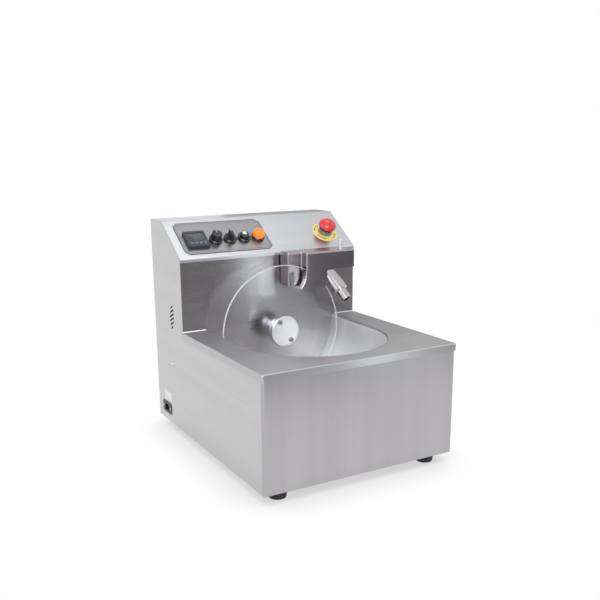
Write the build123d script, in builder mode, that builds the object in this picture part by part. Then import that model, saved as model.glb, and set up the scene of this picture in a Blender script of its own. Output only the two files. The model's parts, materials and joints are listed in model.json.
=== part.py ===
from build123d import *
import os
from math import cos, radians, sin, tan

os.makedirs("parts", exist_ok=True)

# Chocolate tempering machine with an upright wheel, all sizes in millimetres.
# X runs to the right, Y to the back, Z up. The origin is on the table, under the middle.

# Sheet metal
sheet = 1.5
bend = 4.0
lip_height = 15.0
lip_proud = 2.0
fit_gap = 0.2
return_length = 6.0
rear_recess = 2.2
cover_flange = 12.0

# Tank: half a cylinder that ends in a quarter of a sphere, with room under and around it
tank_radius = 155.0
tank_straight = 165.5
rim_radius = 4.0
weld_margin = 8.0
foot_height = 20.0
under_tank = 66.5
front_land = 43.0
side_land = 60.0

# Wheel, hub and shaft
wheel_margin = 14.0
wheel_sink = 6.5
wheel_thickness = 5.0
wheel_to_wall = 41.0
cap_radius = 33.0
cap_depth = 14.0
boss_radius = 18.5
boss_flange_radius = 30.0
boss_flange = 5.5
boss_gap = 1.2
shaft_radius = 10.0
running = 0.05
snug = 0.01
hub_bolt_inset = 8.5
hub_bolt_angle = 123.0

# Drive, which sets how deep the column behind the wall is
bracket_depth = 71.0
gearbox_depth = 35.0
motor_length = 50.0
motor_clear = 5.3

# Upright wall and the sloping control panel above it
nose_over_wheel = 23.5
nose_proud = 2.5
nose_drop = 7.0
panel_rise = 71.0
panel_angle = radians(35.0)
wall_clear = 2.0

# Overall size
tank_outer = tank_radius + sheet
wheel_radius = tank_radius - wheel_margin
hub_bolt_radius = cap_radius - hub_bolt_inset
column_depth = 2 * sheet + bracket_depth + gearbox_depth + motor_length + motor_clear + rear_recess
width = 2 * (tank_radius + side_land)
depth = front_land + tank_radius + tank_straight + column_depth
deck_height = foot_height + under_tank + tank_outer + rim_radius
tank_z = deck_height - rim_radius
axis_z = tank_z - wheel_sink
nose_z = axis_z + wheel_radius + nose_over_wheel
height = nose_z + panel_rise

# Places that several pieces share
half_width = width / 2 - lip_proud
front_y = -depth / 2 + lip_proud
rear_y = depth / 2
wall_y = rear_y - column_depth
nose_y = wall_y - nose_proud
tank_centre_y = wall_y - tank_straight
wheel_y = wall_y - wheel_to_wall - wheel_thickness
deck_under = deck_height - sheet
inner_half = half_width - sheet
cover_y = rear_y - rear_recess - sheet
wall_back = wall_y + sheet
disc_back = wheel_y + wheel_thickness
bracket_back = wall_back + bracket_depth
slope_rise = tan(panel_angle)
panel_drop = sheet / cos(panel_angle)
crest_y = nose_y + panel_rise / slope_rise

shaft_line = Axis((0, 0, axis_z), (0, 1, 0))
shaft_section = Plane(origin=(0, 0, axis_z), x_dir=(0, 1, 0), z_dir=(1, 0, 0))


def across(y):
    """Upright plane at y, looked at from the front: x to the right, z up."""
    return Plane.XZ.offset(-y)


def on_shaft(y):
    """Upright plane at y with its origin on the wheel's axis."""
    return Plane(origin=(0, y, axis_z), x_dir=(1, 0, 0), z_dir=(0, -1, 0))


# The panel's own plane: x to the right, y up the slope, z out of its face
panel = Plane(origin=(0, nose_y, nose_z), x_dir=(1, 0, 0), z_dir=(0, -sin(panel_angle), cos(panel_angle)))


def on_panel(x, up, out=0.0):
    """Plane parallel to the panel's face, moved across, up the slope and out of it."""
    return Plane(panel.location * Location((x, up, out)))


# Base: a shallow pan on four rubber feet
pan_flange = 14.0
pan_front = front_y + sheet + fit_gap
pan_rear = cover_y - sheet - fit_gap
foot_inset = 45.0
foot_inset_end = 33.0
foot_x = width / 2 - foot_inset
foot_y = depth / 2 - foot_inset_end
vent_length = 46.0
vent_width = 5.0
vent_pitch = 60.0
vent_rows = 12.0
foot_radius = 19.0
foot_tread = 15.5
foot_recess = 8.0
foot_recess_depth = 9.0
foot_taper = 4.0
foot_edge = 1.0
foot_screw = 3.0
foot_screw_head = 5.0
thread_out = 1.0
foot_spots = [(x, y) for x in (-foot_x, foot_x) for y in (-foot_y, foot_y)]

with BuildPart() as base_plate:
    with BuildSketch(Plane.XY.offset(foot_height)):
        with Locations((0, (pan_front + pan_rear) / 2)):
            RectangleRounded(2 * (inner_half - fit_gap), pan_rear - pan_front, bend)
    extrude(amount=pan_flange)
    offset(amount=-sheet, openings=base_plate.faces().sort_by(Axis.Z)[-1])
    with BuildSketch(Plane.XY.offset(foot_height)):
        with Locations(foot_spots):
            Circle(foot_screw + fit_gap)
        with GridLocations(vent_pitch, vent_rows, 3, 6):
            SlotOverall(vent_length, vent_width)
    extrude(amount=sheet, mode=Mode.SUBTRACT)
base_plate.part.label = "base_plate"
export_step(base_plate.part, "parts/base_plate.step")

with BuildPart() as feet:
    for x, y in foot_spots:
        with BuildSketch(Plane(origin=(x, y, 0), x_dir=(1, 0, 0), z_dir=(0, -1, 0))):
            with BuildLine():
                Polyline(
                    (foot_screw + fit_gap, foot_height),
                    (foot_radius, foot_height),
                    (foot_radius, foot_height - foot_taper),
                    (foot_tread + foot_edge, foot_edge),
                    (foot_tread, 0),
                    (foot_recess, 0),
                    (foot_recess, foot_recess_depth),
                    (foot_screw + fit_gap, foot_recess_depth),
                    close=True,
                )
            make_face()
        revolve(axis=Axis((x, y, 0), (0, 0, 1)))
feet.part.label = "feet"
export_step(feet.part, "parts/feet.step")

nut_height = 5.0
with BuildPart() as foot_screws:
    with BuildSketch(Plane.XY.offset(foot_recess_depth)):
        with Locations(foot_spots):
            Circle(foot_screw_head)
    extrude(amount=-nut_height)
    with BuildSketch(Plane.XY.offset(foot_recess_depth)):
        with Locations(foot_spots):
            Circle(foot_screw)
    extrude(amount=foot_height + sheet + nut_height - foot_recess_depth + thread_out)
    with BuildSketch(Plane.XY.offset(foot_height + sheet)):
        with Locations(foot_spots):
            RegularPolygon(foot_screw_head, 6, major_radius=False)
            Circle(foot_screw + running, mode=Mode.SUBTRACT)
    extrude(amount=nut_height)
foot_screws.part.label = "foot_screws"
export_step(foot_screws.part, "parts/foot_screws.step")

# Casing: front sheet with bent corners, two L-shaped sides, the rear cover
with BuildPart() as front_panel:
    with BuildSketch(Plane.XY.offset(foot_height)) as front_outline:
        with Locations((0, front_y)):
            Rectangle(2 * half_width, return_length, align=(Align.CENTER, Align.MIN))
        fillet(front_outline.vertices().group_by(Axis.Y)[0], radius=bend)
    extrude(amount=deck_under - foot_height)
    with BuildSketch(Plane.XY.offset(foot_height)) as front_inside:
        with Locations((0, front_y + sheet)):
            Rectangle(2 * inner_half, return_length - sheet, align=(Align.CENTER, Align.MIN))
        fillet(front_inside.vertices().group_by(Axis.Y)[0], radius=bend - sheet)
    extrude(amount=deck_under - foot_height, mode=Mode.SUBTRACT)
front_panel.part.label = "front_panel"
export_step(front_panel.part, "parts/front_panel.step")

louvre_count = 6
louvre_reach = 13.5
louvre_rise = 27.0
louvre_slot = 3.4
louvre_tilt = -25.0
louvre_pitch = 9.0
louvre_from_wall = 61.5
louvre_over_deck = 22.0
louvre_y = wall_y + louvre_from_wall
louvre_z = deck_height + louvre_over_deck
corner_relief = 1.5
side_front = front_y + return_length
roof_under = height - sheet
slope_end_y = nose_y + (roof_under - nose_z + panel_drop) / slope_rise
inlet_from_rear = 51.0
inlet_over_base = 30.0
inlet_y = rear_y - inlet_from_rear
inlet_z = foot_height + inlet_over_base
inlet_body_length = 27.5
inlet_body_height = 20.5
inlet_hole_length = inlet_body_length + 2 * fit_gap
inlet_hole_height = inlet_body_height + 2 * fit_gap
side_screw = 2.0
side_screw_from_wall = 68.5
side_screw_under_deck = 84.0
side_screw_y = wall_y + side_screw_from_wall
side_screw_z = deck_height - side_screw_under_deck

for hand, side in (("left", -1), ("right", 1)):
    with BuildPart() as side_panel:
        with BuildSketch(Plane.YZ.offset(side * half_width)):
            Polygon(
                (side_front, foot_height),
                (rear_y, foot_height),
                (rear_y, roof_under),
                (slope_end_y + corner_relief, roof_under),
                (slope_end_y - corner_relief, roof_under - corner_relief * slope_rise),
                (wall_back, nose_z + (wall_back - nose_y) * slope_rise - panel_drop),
                (wall_back, deck_under),
                (side_front, deck_under),
                align=None,
            )
            for i in range(louvre_count):
                rise = (i - (louvre_count - 1) / 2) * louvre_pitch
                length = 2 * louvre_reach * (1 - (rise / louvre_rise) ** 2) ** 0.5
                with Locations((louvre_y, louvre_z + rise)):
                    SlotOverall(length, louvre_slot, rotation=louvre_tilt, mode=Mode.SUBTRACT)
            with Locations((side_screw_y, side_screw_z)):
                Circle(side_screw + fit_gap, mode=Mode.SUBTRACT)
            if hand == "left":
                with Locations((inlet_y, inlet_z)):
                    Rectangle(inlet_hole_length, inlet_hole_height, mode=Mode.SUBTRACT)
        extrude(amount=-side * sheet)
        with BuildSketch(Plane.XY.offset(foot_height)):
            with Locations((side * (inner_half - cover_flange / 2), cover_y - sheet / 2)):
                Rectangle(cover_flange, sheet)
        extrude(amount=roof_under - foot_height)
    side_panel.part.label = f"side_panel_{hand}"
    export_step(side_panel.part, f"parts/side_panel_{hand}.step")

cover_vent_length = 70.0
cover_vent_width = 4.0
cover_vent_pitch = 11.0
cover_vent_apart = 110.0
cover_vent_inset = 90.0
cover_vent_top = 112.0
cover_screw = 2.0
cover_screw_inset = 32.0
cover_half = inner_half - fit_gap
cover_top = roof_under - fit_gap
screw_column = inner_half - cover_flange / 2
screw_rows = [foot_height + cover_screw_inset, cover_top - cover_screw_inset]
screw_rows += [screw_rows[0] + (screw_rows[1] - screw_rows[0]) * share for share in (1 / 3, 2 / 3)]
cover_spots = [(x, z) for x in (-screw_column, screw_column) for z in screw_rows]

with BuildPart() as rear_cover:
    with BuildSketch(across(cover_y)):
        with Locations((0, foot_height)):
            Rectangle(2 * cover_half, cover_top - foot_height, align=(Align.CENTER, Align.MIN))
        with Locations((0, foot_height + cover_vent_inset), (0, height - cover_vent_top)):
            with GridLocations(cover_vent_apart, cover_vent_pitch, 2, 8):
                SlotOverall(cover_vent_length, cover_vent_width, mode=Mode.SUBTRACT)
        with Locations(cover_spots):
            Circle(cover_screw + running, mode=Mode.SUBTRACT)
    extrude(amount=-sheet)
rear_cover.part.label = "rear_cover"
export_step(rear_cover.part, "parts/rear_cover.step")

# A light angle ties the two sides together behind the tank
brace_leg = 25.0
with BuildPart() as cross_brace:
    with BuildSketch(Plane.YZ.offset(-inner_half)):
        with Locations((side_screw_y - brace_leg / 2, side_screw_z - brace_leg / 2)):
            Rectangle(brace_leg, brace_leg, align=(Align.MIN, Align.MIN))
            with Locations((sheet, sheet)):
                Rectangle(brace_leg, brace_leg, align=(Align.MIN, Align.MIN), mode=Mode.SUBTRACT)
    extrude(amount=2 * inner_half)
    for side in (-1, 1):
        with BuildSketch(Plane.YZ.offset(side * inner_half)):
            with Locations((side_screw_y, side_screw_z)):
                Rectangle(brace_leg, brace_leg)
                Circle(side_screw + fit_gap, mode=Mode.SUBTRACT)
        extrude(amount=-side * sheet)
cross_brace.part.label = "cross_brace"
export_step(cross_brace.part, "parts/cross_brace.step")

# Deck: a folded lid with a U-shaped opening whose rim rolls down into the tank
with BuildPart() as deck_plate:
    with BuildSketch(Plane.XY.offset(deck_height - lip_height)) as deck_outline:
        with Locations((0, -depth / 2)):
            Rectangle(width, wall_y + depth / 2, align=(Align.CENTER, Align.MIN))
        fillet(deck_outline.vertices().group_by(Axis.Y)[0], radius=bend)
    extrude(amount=lip_height)
    top_edges = deck_plate.edges().group_by(Axis.Z)[-1]
    fillet(top_edges.filter_by(lambda edge: edge.center().Y < wall_y - sheet), radius=bend / 2)
    with BuildSketch(Plane.XY.offset(deck_height - lip_height)) as deck_inside:
        with Locations((0, -depth / 2 + sheet)):
            Rectangle(width - 2 * sheet, wall_y + depth / 2 - sheet, align=(Align.CENTER, Align.MIN))
        fillet(deck_inside.vertices().group_by(Axis.Y)[0], radius=bend - sheet)
    extrude(amount=lip_height - sheet, mode=Mode.SUBTRACT)
    with BuildSketch(Plane.XY.offset(deck_under)):
        with Locations((0, tank_centre_y)):
            Circle(tank_radius + rim_radius)
            Rectangle(2 * (tank_radius + rim_radius), wall_y - tank_centre_y, align=(Align.CENTER, Align.MIN))
    extrude(amount=sheet, mode=Mode.SUBTRACT)
    for side in (-1, 1):
        with BuildSketch(across(tank_centre_y)):
            with Locations((side * (tank_radius + rim_radius), tank_z)):
                Circle(rim_radius)
                Circle(rim_radius - sheet, mode=Mode.SUBTRACT)
                quarter = (Align.MAX if side > 0 else Align.MIN, Align.MIN)
                Rectangle(rim_radius, rim_radius, align=quarter, mode=Mode.INTERSECT)
        extrude(amount=-(wall_y - tank_centre_y))
    with BuildSketch(across(tank_centre_y)):
        with Locations((tank_radius + rim_radius, tank_z)):
            Circle(rim_radius)
            Circle(rim_radius - sheet, mode=Mode.SUBTRACT)
            Rectangle(rim_radius, rim_radius, align=(Align.MAX, Align.MIN), mode=Mode.INTERSECT)
    revolve(axis=Axis((0, tank_centre_y, 0), (0, 0, -1)), revolution_arc=180)
deck_plate.part.label = "deck_plate"
export_step(deck_plate.part, "parts/deck_plate.step")

with BuildPart() as tank:
    for radius, mode in ((tank_outer, Mode.ADD), (tank_radius, Mode.SUBTRACT)):
        with BuildSketch(across(tank_centre_y)):
            with Locations((0, tank_z)):
                Circle(radius)
                Rectangle(2 * radius, radius, align=(Align.CENTER, Align.MAX), mode=Mode.INTERSECT)
        extrude(amount=-(wall_y - tank_centre_y), mode=mode)
        with BuildSketch(across(tank_centre_y)):
            with Locations((0, tank_z)):
                Circle(radius)
                Rectangle(radius, radius, align=(Align.MIN, Align.MAX), mode=Mode.INTERSECT)
        revolve(axis=Axis((0, tank_centre_y, 0), (0, 0, -1)), revolution_arc=180, mode=mode)
tank.part.label = "tank"
export_step(tank.part, "parts/tank.step")

# Silicone heater mats under the tank, with the temperature probe between them
mat_thickness = 1.5
mat_near = 9.0
mat_far = 66.0
mat_inset_front = 7.0
mat_inset_back = 10.5
mat_front = tank_centre_y + mat_inset_front
mat_back = wall_y - mat_inset_back
skin_gap = 0.2
with BuildPart() as heater_mats:
    for side in (-1, 1):
        with BuildSketch(across(mat_front)):
            with Locations((0, tank_z)):
                Circle(tank_outer + skin_gap + mat_thickness)
                Circle(tank_outer + skin_gap, mode=Mode.SUBTRACT)
                reach = 3 * tank_radius
                near = (side * reach * sin(radians(mat_near)), -reach * cos(radians(mat_near)))
                far = (side * reach * sin(radians(mat_far)), -reach * cos(radians(mat_far)))
                Polygon((0, 0), near, far, align=None, mode=Mode.INTERSECT)
        extrude(amount=-(mat_back - mat_front))
heater_mats.part.label = "heater_mats"
export_step(heater_mats.part, "parts/heater_mats.step")

probe_radius = 2.5
probe_length = 45.0
pocket_height = 8.0
pocket_width = 14.0
pocket_length = 30.0
sensor_from_bend = 67.0
sensor_y = tank_centre_y + sensor_from_bend
with BuildPart() as tank_sensor:
    with BuildSketch(Plane.XY.offset(tank_z - tank_outer - skin_gap)):
        with Locations((0, sensor_y)):
            Rectangle(pocket_width, pocket_length)
    extrude(amount=-pocket_height)
    fillet(tank_sensor.edges().filter_by(Axis.Z), radius=pocket_width / 7)
    with BuildSketch(across(sensor_y + pocket_length / 2)):
        with Locations((0, tank_z - tank_outer - skin_gap - pocket_height / 2)):
            Circle(probe_radius)
    extrude(amount=-probe_length)
tank_sensor.part.label = "tank_sensor"
export_step(tank_sensor.part, "parts/tank_sensor.step")

# Upright wall: a sheet that stands on the deck and closes the back of the tank
wall_top = nose_z - wall_clear
spigot_radius = 15.8
with BuildPart() as back_wall:
    with BuildSketch(across(wall_y)):
        with Locations((0, deck_under)):
            Rectangle(2 * half_width, wall_top - deck_under, align=(Align.CENTER, Align.MIN))
    extrude(amount=-sheet)
    with BuildSketch(across(wall_y)):
        with Locations((0, tank_z)):
            Circle(tank_outer + weld_margin)
            with Locations((0, rim_radius)):
                Rectangle(4 * tank_outer, 2 * tank_outer, align=(Align.CENTER, Align.MIN), mode=Mode.SUBTRACT)
    extrude(amount=-sheet)
    with BuildSketch(on_shaft(wall_y)):
        Circle(spigot_radius + fit_gap)
    extrude(amount=-sheet, mode=Mode.SUBTRACT)
back_wall.part.label = "back_wall"
export_step(back_wall.part, "parts/back_wall.step")

# Control cowl: nose, slope and roof folded from one sheet
button_hole = 11.15
controller_inset = 54.0
controller_x = -half_width + controller_inset
controller_up = 53.0
controller_body = 44.4
controller_gap = 0.3
control_up = 51.0
control_pitch = 33.8
first_control = 44.4
knob_x = controller_x + first_control
selector_x = knob_x + control_pitch
push_x = selector_x + control_pitch
lamp_x = push_x + control_pitch
stop_inset = 53.0
stop_x = half_width - stop_inset
overlay_inset = 18.0
overlay_width = 206.0
overlay_left = -half_width + overlay_inset
overlay_right = overlay_left + overlay_width
overlay_low = 12.0
overlay_high = 112.0
overlay = 0.8
overlay_corner = 10.0
control_spots = [(x, control_up) for x in (knob_x, selector_x, push_x, lamp_x)]

with BuildPart() as control_cowl:
    with BuildSketch(Plane.YZ.offset(-half_width)):
        with BuildLine():
            skin = FilletPolyline(
                (nose_y, nose_z - nose_drop),
                (nose_y, nose_z),
                (crest_y, height),
                (rear_y, height),
                radius=bend,
            )
            offset(skin, amount=sheet, side=Side.RIGHT)
        make_face()
    extrude(amount=2 * half_width)
    with BuildSketch(panel):
        with Locations((controller_x, controller_up)):
            Rectangle(controller_body + 2 * controller_gap, controller_body + 2 * controller_gap)
        with Locations(control_spots):
            Circle(button_hole)
        with Locations((stop_x, control_up)):
            Circle(button_hole)
    extrude(amount=-2 * sheet, mode=Mode.SUBTRACT)
control_cowl.part.label = "control_cowl"
export_step(control_cowl.part, "parts/control_cowl.step")

with BuildPart() as panel_overlay:
    with BuildSketch(panel) as overlay_outline:
        with Locations(((overlay_left + overlay_right) / 2, (overlay_low + overlay_high) / 2)):
            Rectangle(overlay_right - overlay_left, overlay_high - overlay_low)
        chamfer(overlay_outline.vertices(), length=overlay_corner)
        with Locations((controller_x, controller_up)):
            Rectangle(
                controller_body + 2 * controller_gap,
                controller_body + 2 * controller_gap,
                mode=Mode.SUBTRACT,
            )
        with Locations(control_spots):
            Circle(button_hole, mode=Mode.SUBTRACT)
    extrude(amount=overlay)
panel_overlay.part.label = "panel_overlay"
export_step(panel_overlay.part, "parts/panel_overlay.step")

# Temperature controller with its display and four keys
bezel = 48.0
bezel_depth = 8.0
controller_depth = 70.0
display_width = 37.0
display_height = 19.0
display_up = 7.5
display_thickness = 0.8
recess = 1.0
key_width = 6.4
key_height = 4.2
key_pitch = 10.0
key_up = -15.0
key_gap = 0.3
key_proud = 0.9
key_travel = 0.6
key_pocket = 3.0
key_corner = 1.0
key_edge = 0.5
bezel_corner = 1.5
bezel_edge = 1.0
bezel_face = overlay + bezel_depth
key_names = ("set", "shift", "down", "up")
key_spots = [((i - 1.5) * key_pitch, key_up) for i in range(len(key_names))]

with BuildPart() as controller_case:
    with BuildSketch(on_panel(controller_x, controller_up, overlay)):
        RectangleRounded(bezel, bezel, bezel_corner)
    extrude(amount=bezel_depth)
    chamfer(controller_case.edges().group_by(Axis(panel.origin, panel.z_dir))[-1], length=bezel_edge)
    with BuildSketch(on_panel(controller_x, controller_up, overlay)):
        Rectangle(controller_body, controller_body)
    extrude(amount=-controller_depth)
    with BuildSketch(on_panel(controller_x, controller_up, bezel_face)):
        with Locations((0, display_up)):
            Rectangle(display_width + 2 * fit_gap, display_height + 2 * fit_gap)
    extrude(amount=-recess, mode=Mode.SUBTRACT)
    with BuildSketch(on_panel(controller_x, controller_up, bezel_face)):
        with Locations(key_spots):
            Rectangle(key_width + 2 * key_gap, key_height + 2 * key_gap)
    extrude(amount=-key_pocket, mode=Mode.SUBTRACT)
controller_case.part.label = "controller_case"
export_step(controller_case.part, "parts/controller_case.step")

with BuildPart() as controller_display:
    with BuildSketch(on_panel(controller_x, controller_up + display_up, bezel_face - recess)):
        Rectangle(display_width, display_height)
    extrude(amount=display_thickness)
controller_display.part.label = "controller_display"
export_step(controller_display.part, "parts/controller_display.step")

key_floor = bezel_face - key_pocket + key_travel + fit_gap
for name, (x, up) in zip(key_names, key_spots):
    with BuildPart() as key:
        with BuildSketch(on_panel(controller_x + x, controller_up + up, key_floor)):
            RectangleRounded(key_width, key_height, key_corner)
        extrude(amount=bezel_face + key_proud - key_floor)
        fillet(key.edges().group_by(Axis(panel.origin, panel.z_dir))[-1], radius=key_edge)
    key.part.label = f"controller_key_{name}"
    export_step(key.part, f"parts/controller_key_{name}.step")

# Panel fittings of the 22 mm kind: bezel with a threaded tube, nut and contact block behind
bezel_radius = 14.75
bezel_height = 6.0
tube_radius = 11.0
tube_length = 14.0
well_radius = 10.3
well_floor = 2.0
stem_radius = 4.0
stem_gap = 0.15
cap_fit = 0.3
nut_radius = 14.0
nut_back = -6.5
nut_thickness = 4.0
block_size = 28.0
block_depth = 34.0
block_corner = 2.0
fitting_edge = 1.5

with BuildPart() as switch_bezels:
    for x, up in control_spots:
        with BuildSketch(on_panel(x, up, overlay)):
            Circle(bezel_radius)
        extrude(amount=bezel_height)
    top_rims = switch_bezels.edges().group_by(Axis(panel.origin, panel.z_dir))[-1]
    chamfer(top_rims, length=fitting_edge)
    for x, up in control_spots:
        with BuildSketch(on_panel(x, up, overlay)):
            Circle(tube_radius)
        extrude(amount=-tube_length)
        with BuildSketch(on_panel(x, up, well_floor)):
            Circle(well_radius)
        extrude(amount=bezel_height, mode=Mode.SUBTRACT)
        with BuildSketch(on_panel(x, up, well_floor)):
            Circle(stem_radius + stem_gap)
        extrude(amount=-(tube_length + well_floor), mode=Mode.SUBTRACT)
switch_bezels.part.label = "switch_bezels"
export_step(switch_bezels.part, "parts/switch_bezels.step")

fitting_spots = control_spots + [(stop_x, control_up)]
with BuildPart() as panel_nuts:
    for x, up in fitting_spots:
        with BuildSketch(on_panel(x, up, nut_back)):
            RegularPolygon(nut_radius, 6, major_radius=False)
            Circle(tube_radius + fit_gap, mode=Mode.SUBTRACT)
        extrude(amount=nut_thickness)
panel_nuts.part.label = "panel_nuts"
export_step(panel_nuts.part, "parts/panel_nuts.step")

with BuildPart() as contact_blocks:
    for x, up in fitting_spots:
        with BuildSketch(on_panel(x, up, overlay - tube_length)):
            RectangleRounded(block_size, block_size, block_corner)
        extrude(amount=-block_depth)
contact_blocks.part.label = "contact_blocks"
export_step(contact_blocks.part, "parts/contact_blocks.step")

# Speed knob: fluted and slightly tapered, with a raised pointer
cap_radius_low = well_radius - cap_fit
knob_floor = well_floor + cap_fit
knob_skirt = 12.0
knob_top = 20.0
knob_taper = 5.0
flute_count = 12
flute_radius = 1.3
flute_start = 2.0
pointer_width = 1.6
pointer_length = 8.0
pointer_out = 5.0
pointer_proud = 1.0
stem_length = 12.0
bezel_top = overlay + bezel_height

with BuildPart() as speed_knob:
    with BuildSketch(on_panel(knob_x, control_up, knob_floor)):
        Circle(cap_radius_low)
    extrude(amount=bezel_top + cap_fit - knob_floor)
    with BuildSketch(on_panel(knob_x, control_up, bezel_top + cap_fit)):
        Circle(knob_skirt)
    extrude(amount=knob_top - bezel_top, taper=knob_taper)
    with BuildSketch(on_panel(knob_x, control_up, bezel_top + flute_start)):
        with PolarLocations(knob_skirt + flute_radius / 6, flute_count):
            Circle(flute_radius)
    extrude(amount=knob_top, mode=Mode.SUBTRACT)
    with BuildSketch(on_panel(knob_x, control_up, knob_floor)):
        Circle(stem_radius)
    extrude(amount=-stem_length)
    with BuildSketch(on_panel(knob_x, control_up, knob_top)):
        with Locations((0, pointer_out)):
            Rectangle(pointer_width, pointer_length)
    extrude(amount=pointer_proud)
speed_knob.part.label = "speed_knob"
export_step(speed_knob.part, "parts/speed_knob.step")

# Selector with a grip bar across its face
grip_width = 7.5
grip_length = 23.0
grip_base = 9.0
grip_top = 22.0
grip_taper = 3.0
grip_edge = 1.2
with BuildPart() as selector_knob:
    with BuildSketch(on_panel(selector_x, control_up, knob_floor)):
        Circle(cap_radius_low)
    extrude(amount=grip_base - knob_floor)
    with BuildSketch(on_panel(selector_x, control_up, grip_base)):
        SlotOverall(grip_length, grip_width, rotation=90)
    extrude(amount=grip_top - grip_base, taper=grip_taper)
    fillet(selector_knob.edges().group_by(Axis(panel.origin, panel.z_dir))[-1], radius=grip_edge)
    with BuildSketch(on_panel(selector_x, control_up, knob_floor)):
        Circle(stem_radius)
    extrude(amount=-stem_length)
selector_knob.part.label = "selector_knob"
export_step(selector_knob.part, "parts/selector_knob.step")

# Push button with a light window in its upper half
push_travel = 4.0
push_floor = well_floor + push_travel + cap_fit
push_top = 13.0
window = 9.0
window_up = 3.5
window_depth = 1.5
window_corner = 1.0
push_edge = 1.0
with BuildPart() as push_button:
    with BuildSketch(on_panel(push_x, control_up, push_floor)):
        Circle(cap_radius_low)
    extrude(amount=push_top - push_floor)
    fillet(push_button.edges().group_by(Axis(panel.origin, panel.z_dir))[-1], radius=push_edge)
    with BuildSketch(on_panel(push_x, control_up + window_up, push_top)):
        Rectangle(window, window)
    extrude(amount=-window_depth, mode=Mode.SUBTRACT)
    with BuildSketch(on_panel(push_x, control_up, push_floor)):
        Circle(stem_radius)
    extrude(amount=-(stem_length - push_travel))
push_button.part.label = "push_button"
export_step(push_button.part, "parts/push_button.step")

with BuildPart() as push_window:
    with BuildSketch(on_panel(push_x, control_up + window_up, push_top - window_depth)):
        RectangleRounded(window - 2 * running, window - 2 * running, window_corner)
    extrude(amount=window_depth)
push_window.part.label = "push_window"
export_step(push_window.part, "parts/push_window.step")

# Pilot lamp: a domed lens in the same bezel
lens_top = 19.0
lens_flange = 13.0
lens_round = 5.0
with BuildPart() as lamp_lens:
    with BuildSketch(on_panel(lamp_x, control_up, well_floor + running)):
        Circle(cap_radius_low)
    extrude(amount=bezel_top - well_floor)
    with BuildSketch(on_panel(lamp_x, control_up, bezel_top + running)):
        Circle(lens_flange)
    extrude(amount=lens_top - bezel_top)
    fillet(lamp_lens.edges().group_by(Axis(panel.origin, panel.z_dir))[-1], radius=lens_round)
lamp_lens.part.label = "lamp_lens"
export_step(lamp_lens.part, "parts/lamp_lens.step")

# Emergency stop: yellow plate, collar, sliding plunger and mushroom head
plate_radius = 30.0
plate_thickness = 1.5
plate_edge = 0.5
collar_radius = 15.5
collar_top = 9.0
plunger_radius = 8.0
plunger_gap = 0.1
plunger_top = 26.0
head_radius = 20.0
head_low = 14.5
head_top = 36.0
head_lip = 4.0
head_edge = 2.0
head_skirt_low = 3.0
head_skirt_high = 9.0
stop_travel = 4.5

with BuildPart() as stop_plate:
    with BuildSketch(on_panel(stop_x, control_up)):
        Circle(plate_radius)
        Circle(button_hole, mode=Mode.SUBTRACT)
    extrude(amount=plate_thickness)
    outer_rim = stop_plate.edges().group_by(Axis(panel.origin, panel.z_dir))[-1].sort_by(SortBy.LENGTH)[-1]
    chamfer(outer_rim, length=plate_edge)
stop_plate.part.label = "stop_plate"
export_step(stop_plate.part, "parts/stop_plate.step")

with BuildPart() as stop_collar:
    with BuildSketch(on_panel(stop_x, control_up, plate_thickness)):
        Circle(collar_radius)
    extrude(amount=collar_top - plate_thickness)
    chamfer(stop_collar.edges().group_by(Axis(panel.origin, panel.z_dir))[-1], length=fitting_edge)
    with BuildSketch(on_panel(stop_x, control_up, plate_thickness)):
        Circle(tube_radius)
    extrude(amount=-(tube_length - overlay + plate_thickness))
    with BuildSketch(on_panel(stop_x, control_up, collar_top)):
        Circle(plunger_radius + plunger_gap)
    extrude(amount=-(tube_length - overlay + collar_top), mode=Mode.SUBTRACT)
stop_collar.part.label = "stop_collar"
export_step(stop_collar.part, "parts/stop_collar.step")

plunger_low = overlay - tube_length + stop_travel + fit_gap
with BuildPart() as stop_plunger:
    with BuildSketch(on_panel(stop_x, control_up, plunger_low)):
        Circle(plunger_radius)
    extrude(amount=plunger_top - plunger_low)
stop_plunger.part.label = "stop_plunger"
export_step(stop_plunger.part, "parts/stop_plunger.step")

stop_centre = on_panel(stop_x, control_up).origin
stop_section = Plane(origin=stop_centre, x_dir=(1, 0, 0), z_dir=(0, -cos(panel_angle), -sin(panel_angle)))
with BuildPart() as stop_head:
    with BuildSketch(stop_section):
        with BuildLine():
            bore = plunger_radius + plunger_gap
            rim_low = head_low + head_skirt_low
            rim_high = head_low + head_skirt_high
            Polyline(
                (0, head_top),
                (0, plunger_top + plunger_gap),
                (bore, plunger_top + plunger_gap),
                (bore, head_low),
                (bore + head_lip, head_low),
                (head_radius - head_edge, rim_low),
                (head_radius, rim_low + head_edge),
                (head_radius, rim_high),
            )
            TangentArc((0, head_top), (head_radius, rim_high), tangent=(1, 0))
        make_face()
    revolve(axis=Axis(stop_centre, panel.z_dir))
stop_head.part.label = "stop_head"
export_step(stop_head.part, "parts/stop_head.step")

# Wheel: clear disc clamped between the hub cap and the boss on the shaft
hub_screw = 3.0
hub_screw_head = 5.0
hub_head_height = 3.0
hub_screw_length = 22.0
hub_screw_edge = 1.2
hub_socket = 2.3
hub_socket_depth = 2.0
rim_edge = 0.8
cap_edge = 3.0
cap_web = 6.0
boss_back = wall_y - boss_gap
cap_front = wheel_y - cap_depth
shaft_front = cap_front + cap_web

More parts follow.
